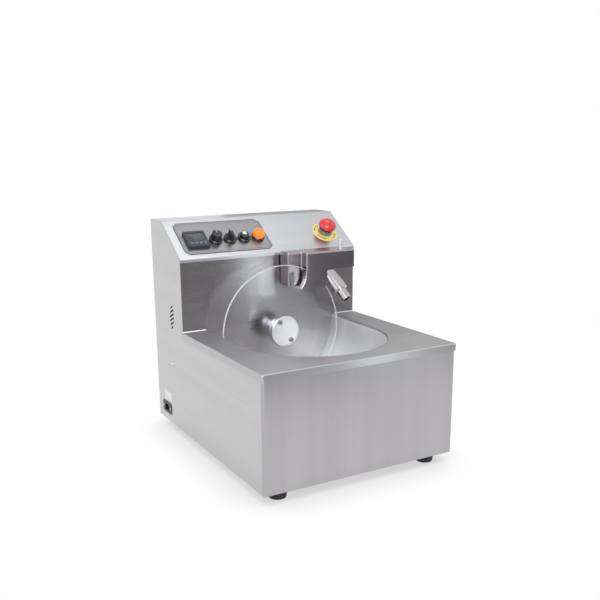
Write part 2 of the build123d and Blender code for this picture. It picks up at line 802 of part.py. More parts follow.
with BuildPart() as wheel_disc:
    with BuildSketch(on_shaft(wheel_y)):
        Circle(wheel_radius)
        Circle(shaft_radius + snug, mode=Mode.SUBTRACT)
        with PolarLocations(hub_bolt_radius, 2, start_angle=hub_bolt_angle):
            Circle(hub_screw + fit_gap, mode=Mode.SUBTRACT)
    extrude(amount=-wheel_thickness)
    rims = wheel_disc.edges().filter_by(GeomType.CIRCLE).sort_by(SortBy.LENGTH)[-2:]
    fillet(rims, radius=rim_edge)
wheel_disc.part.label = "wheel_disc"
export_step(wheel_disc.part, "parts/wheel_disc.step")

with BuildPart() as hub_cap:
    with BuildSketch(shaft_section):
        with BuildLine():
            Polyline(
                (cap_front, 0),
                (cap_front, cap_radius - cap_edge),
                (cap_front + cap_edge, cap_radius),
                (wheel_y, cap_radius),
                (wheel_y, shaft_radius + snug),
                (shaft_front - fit_gap, shaft_radius + snug),
                (shaft_front - fit_gap, 0),
                close=True,
            )
        make_face()
    revolve(axis=shaft_line)
    with BuildSketch(on_shaft(cap_front)):
        with PolarLocations(hub_bolt_radius, 2, start_angle=hub_bolt_angle):
            Circle(hub_screw + fit_gap)
    extrude(amount=-cap_depth, mode=Mode.SUBTRACT)
hub_cap.part.label = "hub_cap"
export_step(hub_cap.part, "parts/hub_cap.step")

with BuildPart() as hub_boss:
    with BuildSketch(shaft_section):
        with BuildLine():
            Polyline(
                (disc_back, shaft_radius + snug),
                (disc_back, boss_flange_radius),
                (disc_back + boss_flange, boss_flange_radius),
                (disc_back + boss_flange, boss_radius),
                (boss_back, boss_radius),
                (boss_back, shaft_radius + snug),
                close=True,
            )
        make_face()
    revolve(axis=shaft_line)
    with BuildSketch(on_shaft(disc_back)):
        with PolarLocations(hub_bolt_radius, 2, start_angle=hub_bolt_angle):
            Circle(hub_screw + snug)
    extrude(amount=-boss_flange, mode=Mode.SUBTRACT)
hub_boss.part.label = "hub_boss"
export_step(hub_boss.part, "parts/hub_boss.step")

with BuildPart() as hub_screws:
    with BuildSketch(on_shaft(cap_front)):
        with PolarLocations(hub_bolt_radius, 2, start_angle=hub_bolt_angle):
            Circle(hub_screw_head)
    extrude(amount=hub_head_height)
    fillet(hub_screws.edges().group_by(Axis.Y)[0], radius=hub_screw_edge)
    with BuildSketch(on_shaft(cap_front)):
        with PolarLocations(hub_bolt_radius, 2, start_angle=hub_bolt_angle):
            Circle(hub_screw)
    extrude(amount=-hub_screw_length)
    with BuildSketch(on_shaft(cap_front - hub_head_height)):
        with PolarLocations(hub_bolt_radius, 2, start_angle=hub_bolt_angle):
            RegularPolygon(hub_socket, 6)
    extrude(amount=-hub_socket_depth, mode=Mode.SUBTRACT)
hub_screws.part.label = "hub_screws"
export_step(hub_screws.part, "parts/hub_screws.step")

shaft_reach = 51.5
shaft_edge = 0.8
shaft_end = wall_back + shaft_reach
with BuildPart() as wheel_shaft:
    with BuildSketch(on_shaft(shaft_front)):
        Circle(shaft_radius)
    extrude(amount=-(shaft_end - shaft_front))
    chamfer(wheel_shaft.edges(), length=shaft_edge)
wheel_shaft.part.label = "wheel_shaft"
export_step(wheel_shaft.part, "parts/wheel_shaft.step")

# Bearing housing on the wall, with two flush bushes and a lip seal at the wall
housing_flange_radius = 40.0
housing_flange = 6.0
housing_radius = 22.0
housing_length = 36.0
housing_bolt_radius = 31.0
stud_radius = 2.5
bush_outer = 14.0
seal_length = 5.0
bush_length = 13.0
housing_end = wall_back + housing_length
seal_back = wall_y + seal_length
with BuildPart() as bearing_housing:
    with BuildSketch(shaft_section):
        with BuildLine():
            Polyline(
                (wall_y, bush_outer),
                (wall_y, spigot_radius),
                (wall_back, spigot_radius),
                (wall_back, housing_flange_radius),
                (wall_back + housing_flange, housing_flange_radius),
                (wall_back + housing_flange, housing_radius),
                (housing_end, housing_radius),
                (housing_end, bush_outer),
                close=True,
            )
        make_face()
    revolve(axis=shaft_line)
    with BuildSketch(on_shaft(wall_back)):
        with PolarLocations(housing_bolt_radius, 4, start_angle=45):
            Circle(stud_radius + fit_gap)
    extrude(amount=-housing_flange, mode=Mode.SUBTRACT)
bearing_housing.part.label = "bearing_housing"
export_step(bearing_housing.part, "parts/bearing_housing.step")

with BuildPart() as bearing_bushes:
    for start in (seal_back + fit_gap, housing_end - bush_length):
        with BuildSketch(on_shaft(start)):
            Circle(bush_outer - snug)
            Circle(shaft_radius + running, mode=Mode.SUBTRACT)
        extrude(amount=-bush_length)
bearing_bushes.part.label = "bearing_bushes"
export_step(bearing_bushes.part, "parts/bearing_bushes.step")

with BuildPart() as shaft_seal:
    with BuildSketch(on_shaft(wall_y + fit_gap)):
        Circle(bush_outer - snug)
        Circle(shaft_radius + running, mode=Mode.SUBTRACT)
    extrude(amount=-(seal_back - wall_y - fit_gap))
shaft_seal.part.label = "shaft_seal"
export_step(shaft_seal.part, "parts/shaft_seal.step")

# Drive: gear motor on a hat-shaped bracket, joined to the shaft by a sleeve coupling
bracket_half = 55.0
bracket_foot = 25.0
bracket_plate = 3.0
bracket_height = 90.0
bracket_bolt_rise = 60.0
motor_shaft_radius = 6.0
motor_hole = 15.0
coupling_radius = 17.0
coupling_gap = 2.0
coupling_length = 28.0
coupling_front = housing_end + coupling_gap
coupling_back = coupling_front + coupling_length
coupling_step = shaft_end + shaft_edge / 2
motor_shaft_start = coupling_step + shaft_edge
motor_shaft_depth = 17.0
motor_shaft_end = bracket_back + motor_shaft_depth
gearbox = 80.0
gearbox_corner = 8.0
motor_bolt_pitch = 60.0
motor_bolt_depth = 8.0
motor_radius = 36.0
motor_edge = 4.0
with BuildPart() as motor_bracket:
    with BuildSketch(Plane.XY.offset(axis_z - bracket_height / 2)):
        for side in (-1, 1):
            with Locations((side * (bracket_half + bracket_foot / 2), wall_back + bracket_plate / 2)):
                Rectangle(bracket_foot, bracket_plate)
            with Locations((side * (bracket_half - bracket_plate / 2), (wall_back + bracket_back) / 2)):
                Rectangle(bracket_plate, bracket_back - wall_back)
        with Locations((0, bracket_back - bracket_plate / 2)):
            Rectangle(2 * bracket_half, bracket_plate)
    extrude(amount=bracket_height)
    with BuildSketch(on_shaft(bracket_back)):
        Circle(motor_hole)
        with GridLocations(motor_bolt_pitch, motor_bolt_pitch, 2, 2):
            Circle(stud_radius + fit_gap)
    extrude(amount=bracket_plate, mode=Mode.SUBTRACT)
    with BuildSketch(on_shaft(wall_back)):
        with GridLocations(2 * bracket_half + bracket_foot, bracket_bolt_rise, 2, 2):
            Circle(stud_radius + fit_gap)
    extrude(amount=-bracket_plate, mode=Mode.SUBTRACT)
motor_bracket.part.label = "motor_bracket"
export_step(motor_bracket.part, "parts/motor_bracket.step")

stud_length = 12.0
stud_nut = 4.0
stud_nut_height = 4.0
with BuildPart() as wall_studs:
    with BuildSketch(on_shaft(wall_back)):
        with PolarLocations(housing_bolt_radius, 4, start_angle=45):
            Circle(stud_radius)
        with GridLocations(2 * bracket_half + bracket_foot, bracket_bolt_rise, 2, 2):
            Circle(stud_radius)
    extrude(amount=-stud_length)
    with BuildSketch(on_shaft(wall_back + housing_flange)):
        with PolarLocations(housing_bolt_radius, 4, start_angle=45):
            RegularPolygon(stud_nut, 6, major_radius=False)
            Circle(stud_radius + running, mode=Mode.SUBTRACT)
    extrude(amount=-stud_nut_height)
    with BuildSketch(on_shaft(wall_back + bracket_plate)):
        with GridLocations(2 * bracket_half + bracket_foot, bracket_bolt_rise, 2, 2):
            RegularPolygon(stud_nut, 6, major_radius=False)
            Circle(stud_radius + running, mode=Mode.SUBTRACT)
    extrude(amount=-stud_nut_height)
wall_studs.part.label = "wall_studs"
export_step(wall_studs.part, "parts/wall_studs.step")

with BuildPart() as shaft_coupling:
    with BuildSketch(shaft_section):
        with BuildLine():
            Polyline(
                (coupling_front, shaft_radius + snug),
                (coupling_front, coupling_radius),
                (coupling_back, coupling_radius),
                (coupling_back, motor_shaft_radius + snug),
                (coupling_step, motor_shaft_radius + snug),
                (coupling_step, shaft_radius + snug),
                close=True,
            )
        make_face()
    revolve(axis=shaft_line)
shaft_coupling.part.label = "shaft_coupling"
export_step(shaft_coupling.part, "parts/shaft_coupling.step")

with BuildPart() as motor_shaft:
    with BuildSketch(on_shaft(motor_shaft_start)):
        Circle(motor_shaft_radius)
    extrude(amount=-(motor_shaft_end - motor_shaft_start))
motor_shaft.part.label = "motor_shaft"
export_step(motor_shaft.part, "parts/motor_shaft.step")

with BuildPart() as gear_motor:
    with BuildSketch(on_shaft(bracket_back)):
        RectangleRounded(gearbox, gearbox, gearbox_corner)
    extrude(amount=-gearbox_depth)
    with BuildSketch(on_shaft(bracket_back + gearbox_depth)):
        Circle(motor_radius)
    extrude(amount=-motor_length)
    fillet(gear_motor.edges().group_by(Axis.Y)[-1], radius=motor_edge)
    with BuildSketch(on_shaft(bracket_back)):
        Circle(motor_shaft_radius + running)
    extrude(amount=-(motor_shaft_depth + fit_gap), mode=Mode.SUBTRACT)
    with BuildSketch(on_shaft(bracket_back)):
        with GridLocations(motor_bolt_pitch, motor_bolt_pitch, 2, 2):
            Circle(stud_radius)
    extrude(amount=-(motor_bolt_depth + fit_gap), mode=Mode.SUBTRACT)
gear_motor.part.label = "gear_motor"
export_step(gear_motor.part, "parts/gear_motor.step")

with BuildPart() as motor_screws:
    with BuildSketch(on_shaft(bracket_back - bracket_plate)):
        with GridLocations(motor_bolt_pitch, motor_bolt_pitch, 2, 2):
            Circle(stud_nut)
    extrude(amount=stud_nut_height)
    with BuildSketch(on_shaft(bracket_back - bracket_plate)):
        with GridLocations(motor_bolt_pitch, motor_bolt_pitch, 2, 2):
            Circle(stud_radius - snug)
    extrude(amount=-(bracket_plate + motor_bolt_depth))
motor_screws.part.label = "motor_screws"
export_step(motor_screws.part, "parts/motor_screws.step")

# Scraper hood: straddles the wheel's upper right, lifts off two studs on the wall
hood_inset = 33.0
hood_length = 160.0
hood_height = 40.0
hood_depth = 53.0
hood_step = 20.0
hood_left_part = 35.0
hood_off_wall = 3.5
hood_overlap = 15.5
hood_bend = 4.0
floor_margin = 9.7
notch_height = 9.0
skirt_drop_front = 38.0
skirt_length = 49.0
skirt_flare = 16.5
skirt_flange = 9.0
skirt_drop_left = 33.0
skirt_drop_right = 44.0
hook_apart = 80.0
hook_from_right = 20.0
hook_rise = 20.0
hook_shank = 3.0
hook_head = 6.0
hook_head_height = 2.0
hook_slot = 3.4
hook_play = 0.3
hook_rest = 0.02
spout_radius = 17.0
spout_wall = 1.5
spout_from_right = 64.0
spout_from_back = 28.0
spout_reach = 40.0
spout_side = 17.5
spout_drop = 47.0
spout_round = 2.5
nozzle_radius = 11.0
nozzle_length = 24.0
spout_in_hood = 6.0

hood_right = half_width - hood_inset
hood_left = hood_right - hood_length
hood_step_x = hood_left + hood_left_part
hood_back = wall_y - hood_off_wall
hood_front = hood_back - hood_depth
hood_step_y = hood_front + hood_step
hood_low = axis_z + wheel_radius - hood_overlap
hood_top = hood_low + hood_height
hood_floor_left = (wheel_radius**2 - (hood_low - axis_z) ** 2) ** 0.5 + floor_margin
notch_top = hood_low + notch_height
skirt_right = hood_step_x + skirt_length
hook_right = hood_right - hook_from_right
hook_left = hook_right - hook_apart
hook_z = hood_low + hook_rise
spout_top = (hood_right - spout_from_right, hood_back - spout_from_back, hood_low)
spout_end = (spout_top[0] + spout_side, spout_top[1] - spout_reach, spout_top[2] - spout_drop)

spout_run = Vector(*spout_end) - Vector(*spout_top)
spout_length = spout_run.length
spout_way = spout_run.normalized()
spout_plane = Plane(origin=spout_top, x_dir=spout_way.cross(Vector(0, 0, 1)), z_dir=spout_way)

with BuildPart() as chute_hood:
    with BuildSketch(Plane.XY.offset(hood_low)) as hood_outline:
        Polygon(
            (hood_left, hood_back),
            (hood_left, hood_step_y),
            (hood_step_x, hood_step_y),
            (hood_step_x, hood_front),
            (hood_right, hood_front),
            (hood_right, hood_back),
            align=None,
        )
    extrude(amount=hood_top - hood_low)
    corners = chute_hood.edges().filter_by(Axis.Z)
    fillet(corners.filter_by(lambda edge: edge.center().Y < hood_back - sheet), radius=hood_bend)
    brow = chute_hood.edges().group_by(Axis.Z)[-1]
    fillet(brow.filter_by(lambda edge: edge.center().Y < hood_back - sheet), radius=hood_bend)
    offset(amount=-sheet, openings=chute_hood.faces().sort_by(Axis.Z)[0])
    with BuildSketch(Plane.XY.offset(hood_low)):
        with Locations((hood_floor_left, hood_front + sheet)):
            Rectangle(
                hood_right - sheet - hood_floor_left,
                hood_back - hood_front - 2 * sheet,
                align=(Align.MIN, Align.MIN),
            )
    extrude(amount=sheet)
    with BuildSketch(spout_plane.offset(-spout_radius)):
        Circle(spout_radius + fit_gap)
    extrude(amount=2 * spout_radius, mode=Mode.SUBTRACT)
    with BuildSketch(Plane.YZ.offset(hood_step_x)):
        with Locations((hood_front + sheet, hood_low)):
            Rectangle(hood_step_y - hood_front - sheet, notch_top - hood_low, align=(Align.MIN, Align.MIN))
    extrude(amount=sheet, mode=Mode.SUBTRACT)
    with BuildSketch(across(hood_back)):
        for x in (hook_left, hook_right):
            with Locations((x, hook_z + hook_shank + hook_rest - hook_slot)):
                Circle(hook_slot)
                Rectangle(2 * hook_slot, hook_z - hood_low, align=(Align.CENTER, Align.MAX))
    extrude(amount=sheet, mode=Mode.SUBTRACT)
    with BuildSketch(Plane.XY.offset(hood_low)):
        for x in (hook_left, hook_right):
            with Locations((x, hood_back - sheet)):
                Rectangle(2.4 * hook_head, hook_head, align=(Align.CENTER, Align.MAX))
    extrude(amount=sheet, mode=Mode.SUBTRACT)
chute_hood.part.label = "chute_hood"
export_step(chute_hood.part, "parts/chute_hood.step")


def open_sides(skirt):
    """The faces of a folded skirt's block that its sheet leaves open: back, right, bottom and top."""
    by_height = skirt.faces().sort_by(Axis.Z)
    return [skirt.faces().sort_by(Axis.Y)[-1], skirt.faces().sort_by(Axis.X)[-1], by_height[0], by_height[-1]]


# The front skirt flares to the left, and its curved edge is folded back towards the disc
with BuildPart() as front_skirt:
    with BuildSketch(across(hood_front)):
        with BuildLine():
            skirt_low = hood_low - skirt_drop_front
            left_low = (hood_step_x - skirt_flare, skirt_low)
            Line((hood_step_x, hood_low), (skirt_right, hood_low))
            Line((skirt_right, hood_low), (skirt_right, skirt_low))
            Line((skirt_right, skirt_low), left_low)
            TangentArc((hood_step_x, hood_low), left_low, tangent=(0, -1))
        make_face()
    extrude(amount=-skirt_flange)
    fillet(front_skirt.edges().group_by(Axis.Y)[0].filter_by(GeomType.CIRCLE), radius=hood_bend)
    offset(amount=-sheet, openings=open_sides(front_skirt))
front_skirt.part.label = "front_skirt"
export_step(front_skirt.part, "parts/front_skirt.step")

# The rear skirt is folded back to the wall at its left, and its lower edge falls to the right
with BuildPart() as rear_skirt:
    with BuildSketch(across(hood_step_y)):
        Polygon(
            (hood_left, hood_low),
            (hood_step_x, hood_low),
            (hood_step_x, hood_low - skirt_drop_right),
            (hood_left, hood_low - skirt_drop_left),
            align=None,
        )
    extrude(amount=-(hood_back - hood_step_y))
    fold = rear_skirt.edges().filter_by(Axis.Z).group_by(Axis.X)[0].sort_by(Axis.Y)[0]
    fillet(fold, radius=hood_bend)
    offset(amount=-sheet, openings=open_sides(rear_skirt))
rear_skirt.part.label = "rear_skirt"
export_step(rear_skirt.part, "parts/rear_skirt.step")

# Plastic blades that strip both faces of the disc
blade_gap = 0.3
blade_width = 9.0
blade_height = 30.0
blade_drop = 33.0
blade_low = hood_low - blade_drop
with BuildPart() as scraper_blades:
    with BuildSketch(across(hood_front + sheet)):
        with Locations((hood_step_x + hood_bend, blade_low)):
            Rectangle(blade_width, blade_height, align=(Align.MIN, Align.MIN))
    extrude(amount=-(wheel_y - blade_gap - hood_front - sheet))
    with BuildSketch(across(disc_back + blade_gap)):
        with Locations((hood_left + hood_bend, blade_low)):
            Rectangle(blade_width, blade_height, align=(Align.MIN, Align.MIN))
    extrude(amount=-(hood_step_y - disc_back - blade_gap))
scraper_blades.part.label = "scraper_blades"
export_step(scraper_blades.part, "parts/scraper_blades.step")

with BuildPart() as spout:
    with BuildSketch(spout_plane.offset(-spout_radius)):
        Circle(spout_radius)
    extrude(amount=spout_length + spout_radius)
    fillet(spout.edges().group_by(Axis(spout_plane.origin, spout_plane.z_dir))[-1], radius=spout_round)
    with BuildSketch(spout_plane.offset(spout_length - spout_wall)):
        Circle(nozzle_radius)
    extrude(amount=nozzle_length + spout_wall)
    with BuildSketch(spout_plane.offset(-spout_radius)):
        Circle(spout_radius - spout_wall)
    extrude(amount=spout_length + spout_radius - spout_wall, mode=Mode.SUBTRACT)
    with BuildSketch(spout_plane.offset(spout_length - 2 * spout_wall)):
        Circle(nozzle_radius - spout_wall)
    extrude(amount=nozzle_length + 4 * spout_wall, mode=Mode.SUBTRACT)
    split(bisect_by=Plane.XY.offset(hood_low + spout_in_hood), keep=Keep.BOTTOM)
spout.part.label = "spout"
export_step(spout.part, "parts/spout.step")

lift_pin_inset = 34.0
lift_pin_back = 6.5
lift_pin_x = hood_right - lift_pin_inset
lift_pin_y = hood_front + lift_pin_back
lift_pin_radius = 4.0
lift_pin_height = 22.0
lift_pin_edge = 1.5
with BuildPart() as lift_pin:
    with BuildSketch(Plane.XY.offset(hood_top)):
        with Locations((lift_pin_x, lift_pin_y)):
            Circle(lift_pin_radius)
    extrude(amount=lift_pin_height)
    fillet(lift_pin.edges().group_by(Axis.Z)[-1], radius=lift_pin_edge)
lift_pin.part.label = "lift_pin"
export_step(lift_pin.part, "parts/lift_pin.step")

head_back = hood_back - sheet - hook_play
shoulder_front = hood_back + hook_play
with BuildPart() as hood_studs:
    with BuildSketch(across(head_back - hook_head_height)):
        with Locations((hook_left, hook_z), (hook_right, hook_z)):
            Circle(hook_head)
    extrude(amount=-hook_head_height)
    with BuildSketch(across(head_back)):
        with Locations((hook_left, hook_z), (hook_right, hook_z)):
            Circle(hook_shank)
    extrude(amount=-(wall_y - head_back))
    with BuildSketch(across(shoulder_front)):
        with Locations((hook_left, hook_z), (hook_right, hook_z)):
            Circle(hook_head)
    extrude(amount=-(wall_y - shoulder_front))
hood_studs.part.label = "hood_studs"
export_step(hood_studs.part, "parts/hood_studs.step")

# Power inlet low on the left side, with its blades
inlet_flange_length = 50.0
inlet_flange_height = 26.0
inlet_flange = 1.2
inlet_depth = 26.0
socket_length = 23.0
socket_height = 15.0
socket_depth = 18.0
socket_corner = 4.0
inlet_corner = 4.0
inlet_screw = 1.5
inlet_screw_pitch = 40.0
contact_width = 2.0
contact_height = 4.0
contact_pitch = 7.0
contact_length = 13.0
outer_face = -half_width - inlet_flange
with BuildPart() as power_inlet:
    with BuildSketch(Plane.YZ.offset(-half_width)) as inlet_outline:
        with Locations((inlet_y, inlet_z)):
            RectangleRounded(inlet_flange_length, inlet_flange_height, inlet_corner)
            with GridLocations(inlet_screw_pitch, 0, 2, 1):
                Circle(inlet_screw + running, mode=Mode.SUBTRACT)
    extrude(amount=-inlet_flange)
    with BuildSketch(Plane.YZ.offset(-half_width)):
        with Locations((inlet_y, inlet_z)):
            Rectangle(inlet_body_length, inlet_body_height)
    extrude(amount=inlet_depth)
    with BuildSketch(Plane.YZ.offset(outer_face)) as socket:
        with Locations((inlet_y, inlet_z)):
            Rectangle(socket_length, socket_height)
        chamfer(socket.vertices().group_by(Axis.Y)[-1], length=socket_corner)
    extrude(amount=socket_depth, mode=Mode.SUBTRACT)
power_inlet.part.label = "power_inlet"
export_step(power_inlet.part, "parts/power_inlet.step")

with BuildPart() as inlet_blades:
    with BuildSketch(Plane.YZ.offset(outer_face + socket_depth)):
        with Locations((inlet_y, inlet_z)):
            with GridLocations(2 * contact_pitch, 0, 2, 1):
                with Locations((0, -contact_width)):
                    Rectangle(contact_width, contact_height)
            with Locations((0, contact_width)):
                Rectangle(contact_width, contact_height)
    extrude(amount=-contact_length)
inlet_blades.part.label = "inlet_blades"
export_step(inlet_blades.part, "parts/inlet_blades.step")

# Small pan-head screws of the casing: rear cover, cross brace and power inlet
pan_head = 3.8
pan_head_height = 1.8
inlet_head = 2.7
inlet_head_height = 0.7
brace_screw_length = 8.0
with BuildPart() as casing_screws:
    with BuildSketch(across(cover_y + sheet)):
        with Locations(cover_spots):
            Circle(pan_head)
    extrude(amount=-pan_head_height)
    with BuildSketch(across(cover_y + sheet)):
        with Locations(cover_spots):
            Circle(cover_screw)
    extrude(amount=sheet)
    for side in (-1, 1):
        with BuildSketch(Plane.YZ.offset(side * half_width)):
            with Locations((side_screw_y, side_screw_z)):
                Circle(pan_head)
        extrude(amount=side * pan_head_height)
        with BuildSketch(Plane.YZ.offset(side * half_width)):
            with Locations((side_screw_y, side_screw_z)):
                Circle(side_screw)
        extrude(amount=-side * brace_screw_length)
    with BuildSketch(Plane.YZ.offset(outer_face)):
        with Locations((inlet_y, inlet_z)):
            with GridLocations(inlet_screw_pitch, 0, 2, 1):
                Circle(inlet_head)
    extrude(amount=-inlet_head_height)
    with BuildSketch(Plane.YZ.offset(outer_face)):
        with Locations((inlet_y, inlet_z)):
            with GridLocations(inlet_screw_pitch, 0, 2, 1):
                Circle(inlet_screw)
    extrude(amount=inlet_flange)
casing_screws.part.label = "casing_screws"
export_step(casing_screws.part, "parts/casing_screws.step")

# Cooling fan behind the left louvres
fan_size = 60.0
fan_depth = 25.0
fan_duct = 28.0
fan_hub = 12.5
fan_blade_count = 7
fan_blade_width = 15.0
fan_blade_thickness = 1.2
fan_blade_pitch = 38.0
fan_hub_length = 17.0
fan_hub_gap = 0.3
fan_tip_gap = 1.0
fan_corner = 4.0
fan_hole_pitch = 50.0
fan_hole = 2.2
fan_face = -inner_half + fit_gap
fan_offset = 4.0
fan_y = louvre_y - fan_offset
spoke_depth = 2.5
spoke_width = 3.0
fan_pin = 1.5
fan_pin_length = 10.0
with BuildPart() as fan_frame:
    with BuildSketch(Plane.YZ.offset(fan_face)):
        with Locations((fan_y, louvre_z)):
            RectangleRounded(fan_size, fan_size, fan_corner)
            Circle(fan_duct, mode=Mode.SUBTRACT)
            with GridLocations(fan_hole_pitch, fan_hole_pitch, 2, 2):
                Circle(fan_hole, mode=Mode.SUBTRACT)
    extrude(amount=fan_depth)
    with BuildSketch(Plane.YZ.offset(fan_face + fan_depth - spoke_depth)):
        with Locations((fan_y, louvre_z)):
            Circle(fan_hub)
            Rectangle(2 * fan_duct + sheet, spoke_width)
            Rectangle(spoke_width, 2 * fan_duct + sheet)
    extrude(amount=spoke_depth)
    with BuildSketch(Plane.YZ.offset(fan_face + fan_depth - spoke_depth)):
        with Locations((fan_y, louvre_z)):
            Circle(fan_pin)
    extrude(amount=-fan_pin_length)
fan_frame.part.label = "fan_frame"
export_step(fan_frame.part, "parts/fan_frame.step")

with BuildPart() as fan_rotor:
    hub_back = fan_face + fan_depth - spoke_depth - fan_hub_gap
    with BuildSketch(Plane.YZ.offset(hub_back)):
        with Locations((fan_y, louvre_z)):
            Circle(fan_hub)
    extrude(amount=-fan_hub_length)
    for i in range(fan_blade_count):
        turn = 360 * i / fan_blade_count
        hub_middle = (hub_back - fan_hub_length / 2, fan_y, louvre_z)
        root = Plane(origin=hub_middle, x_dir=(1, 0, 0), z_dir=(0, 1, 0))
        blade_plane = root.rotated((turn, 0, 0)).offset(fan_hub - fan_tip_gap)
        with BuildSketch(blade_plane):
            Rectangle(fan_blade_width, fan_blade_thickness, rotation=fan_blade_pitch)
        extrude(amount=fan_duct - fan_hub)
    with BuildSketch(Plane.YZ.offset(hub_back)):
        with Locations((fan_y, louvre_z)):
            Circle(fan_pin + running)
    extrude(amount=-(fan_pin_length + fit_gap), mode=Mode.SUBTRACT)
fan_rotor.part.label = "fan_rotor"
export_step(fan_rotor.part, "parts/fan_rotor.step")

# Two relays stand on the base, in front of the power inlet
relay_x = -70.0
relay_from_rear = 75.0
relay_y = rear_y - relay_from_rear
relay_flange = 8.0
relay_corner = 2.0
relay_width = 36.0
relay_depth = 70.0
relay_height = 58.0
relay_foot = 4.0
relay_pitch = 44.0
with BuildPart() as relays:
    with BuildSketch(Plane.XY.offset(foot_height + sheet)):
        with Locations((relay_x, relay_y)):
            with GridLocations(relay_pitch, 0, 2, 1):
                Rectangle(relay_width, relay_depth + 2 * relay_flange)
    extrude(amount=relay_foot)
    with BuildSketch(Plane.XY.offset(foot_height + sheet)):
        with Locations((relay_x, relay_y)):
            with GridLocations(relay_pitch, 0, 2, 1):
                RectangleRounded(relay_width, relay_depth, relay_corner)
    extrude(amount=relay_height)
relays.part.label = "relays"
export_step(relays.part, "parts/relays.step")
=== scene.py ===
# %% [markdown]
# # Chocolate tempering machine: the looks
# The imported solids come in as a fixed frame, in metres: +X is to the operator's right, +Y to the back, +Z up.
# Flat sheets keep their solid and get softened edges and a grained steel. Round, clear and moulded pieces are
# modelled again here at a finer scale, each in the place of the solid that it stands for.

# %% Load the frame
import json
import math
import random

import bmesh
import bpy
from mathutils import Matrix, Vector


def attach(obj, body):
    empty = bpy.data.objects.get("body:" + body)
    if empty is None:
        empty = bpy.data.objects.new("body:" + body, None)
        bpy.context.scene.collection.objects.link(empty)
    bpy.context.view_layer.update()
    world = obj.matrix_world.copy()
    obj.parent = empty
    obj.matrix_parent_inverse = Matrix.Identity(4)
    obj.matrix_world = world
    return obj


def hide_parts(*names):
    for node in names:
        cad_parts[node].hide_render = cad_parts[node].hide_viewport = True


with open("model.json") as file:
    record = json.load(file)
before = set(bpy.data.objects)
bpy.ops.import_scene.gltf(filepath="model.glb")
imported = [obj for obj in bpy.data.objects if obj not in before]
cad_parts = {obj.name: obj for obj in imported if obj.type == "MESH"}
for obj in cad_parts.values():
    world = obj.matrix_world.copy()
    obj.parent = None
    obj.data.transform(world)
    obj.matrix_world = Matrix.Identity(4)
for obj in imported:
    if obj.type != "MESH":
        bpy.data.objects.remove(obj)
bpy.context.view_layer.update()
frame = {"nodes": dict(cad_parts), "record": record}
nodes = frame["nodes"]

# %% [markdown]
# ## Sizes
# The values that the new pieces share with the solids, in millimetres, with the four coordinate frames
# that they are built in. Each frame turns a local point (across, up, out) into a place on the machine.

# %% Shared sizes and local frames
MM = 0.001
TAU = 2 * math.pi
DECK_Z, DECK_LIP, DECK_FRONT, DECK_HALF, WALL_Y = 247.0, 15.0, -265.0, 215.0, 98.5
SHEET = 1.5
TANK_R, TANK_Y, TANK_Z, RIM_R = 155.0, -67.0, 243.0, 4.0
AXIS_Z, WHEEL_R, WHEEL_FRONT, WHEEL_BACK = 236.5, 141.0, 52.5, 57.5
NOSE_Y, NOSE_Z, SLOPE = 96.0, 401.0, math.radians(35)
SIDE_X, INLET_Y, INLET_Z = 213.0, 214.0, 50.0


def frame_of(across, up, out, origin):
    """Matrix that places local (across, up, out) millimetres in the machine's frame."""
    axes = Matrix((across, up, out)).transposed().to_4x4()
    return Matrix.Translation(Vector(origin)) @ axes


slope = frame_of((1, 0, 0), (0, math.cos(SLOPE), math.sin(SLOPE)), (0, -math.sin(SLOPE), math.cos(SLOPE)), (0, NOSE_Y, NOSE_Z))
shaft = frame_of((1, 0, 0), (0, 0, 1), (0, -1, 0), (0, 0, AXIS_Z))
left_side = frame_of((0, -1, 0), (0, 0, 1), (-1, 0, 0), (-SIDE_X, 0, 0))
right_side = frame_of((0, 1, 0), (0, 0, 1), (1, 0, 0), (SIDE_X, 0, 0))
rear_side = frame_of((-1, 0, 0), (0, 0, 1), (0, 1, 0), (0, 262.8, 0))
upright = Matrix.Identity(4)


def on_slope(x, up, out=0.0):
    """The panel's frame, moved to a fitting."""
    return slope @ Matrix.Translation((x, up, out))


# %% [markdown]
# ## Mesh helpers
# A lathe for turned pieces, a prism for pressed and moulded ones, and a soft corner for their outlines.

# %% Mesh helpers
def soften(points, radius, closed=True, steps=5):
    """Rounds the corners of a 2-D outline. radius is one number, or one for each corner."""
    count = len(points)
    radii = radius if isinstance(radius, (list, tuple)) else [radius] * count
    result = []
    for i, point in enumerate(points):
        here = Vector(point)
        if radii[i] <= 0 or (not closed and i in (0, count - 1)):
            result.append(tuple(here))
            continue
        before = Vector(points[i - 1]) - here
        after = Vector(points[(i + 1) % count]) - here
        half = before.angle(after) / 2
        if half > math.pi / 2 - 0.01:
            result.append(tuple(here))
            continue
        reach = min(radii[i] / math.tan(half), 0.49 * before.length, 0.49 * after.length)
        real = reach * math.tan(half)
        middle = here + (before.normalized() + after.normalized()).normalized() * (real / math.sin(half))
        start = here + before.normalized() * reach - middle
        end = here + after.normalized() * reach - middle
        turn = start.angle_signed(end)
        for k in range(steps + 1):
            a = -turn * k / steps
            spun = Vector((start.x * math.cos(a) - start.y * math.sin(a), start.x * math.sin(a) + start.y * math.cos(a)))
            result.append(tuple(middle + spun))
    return result


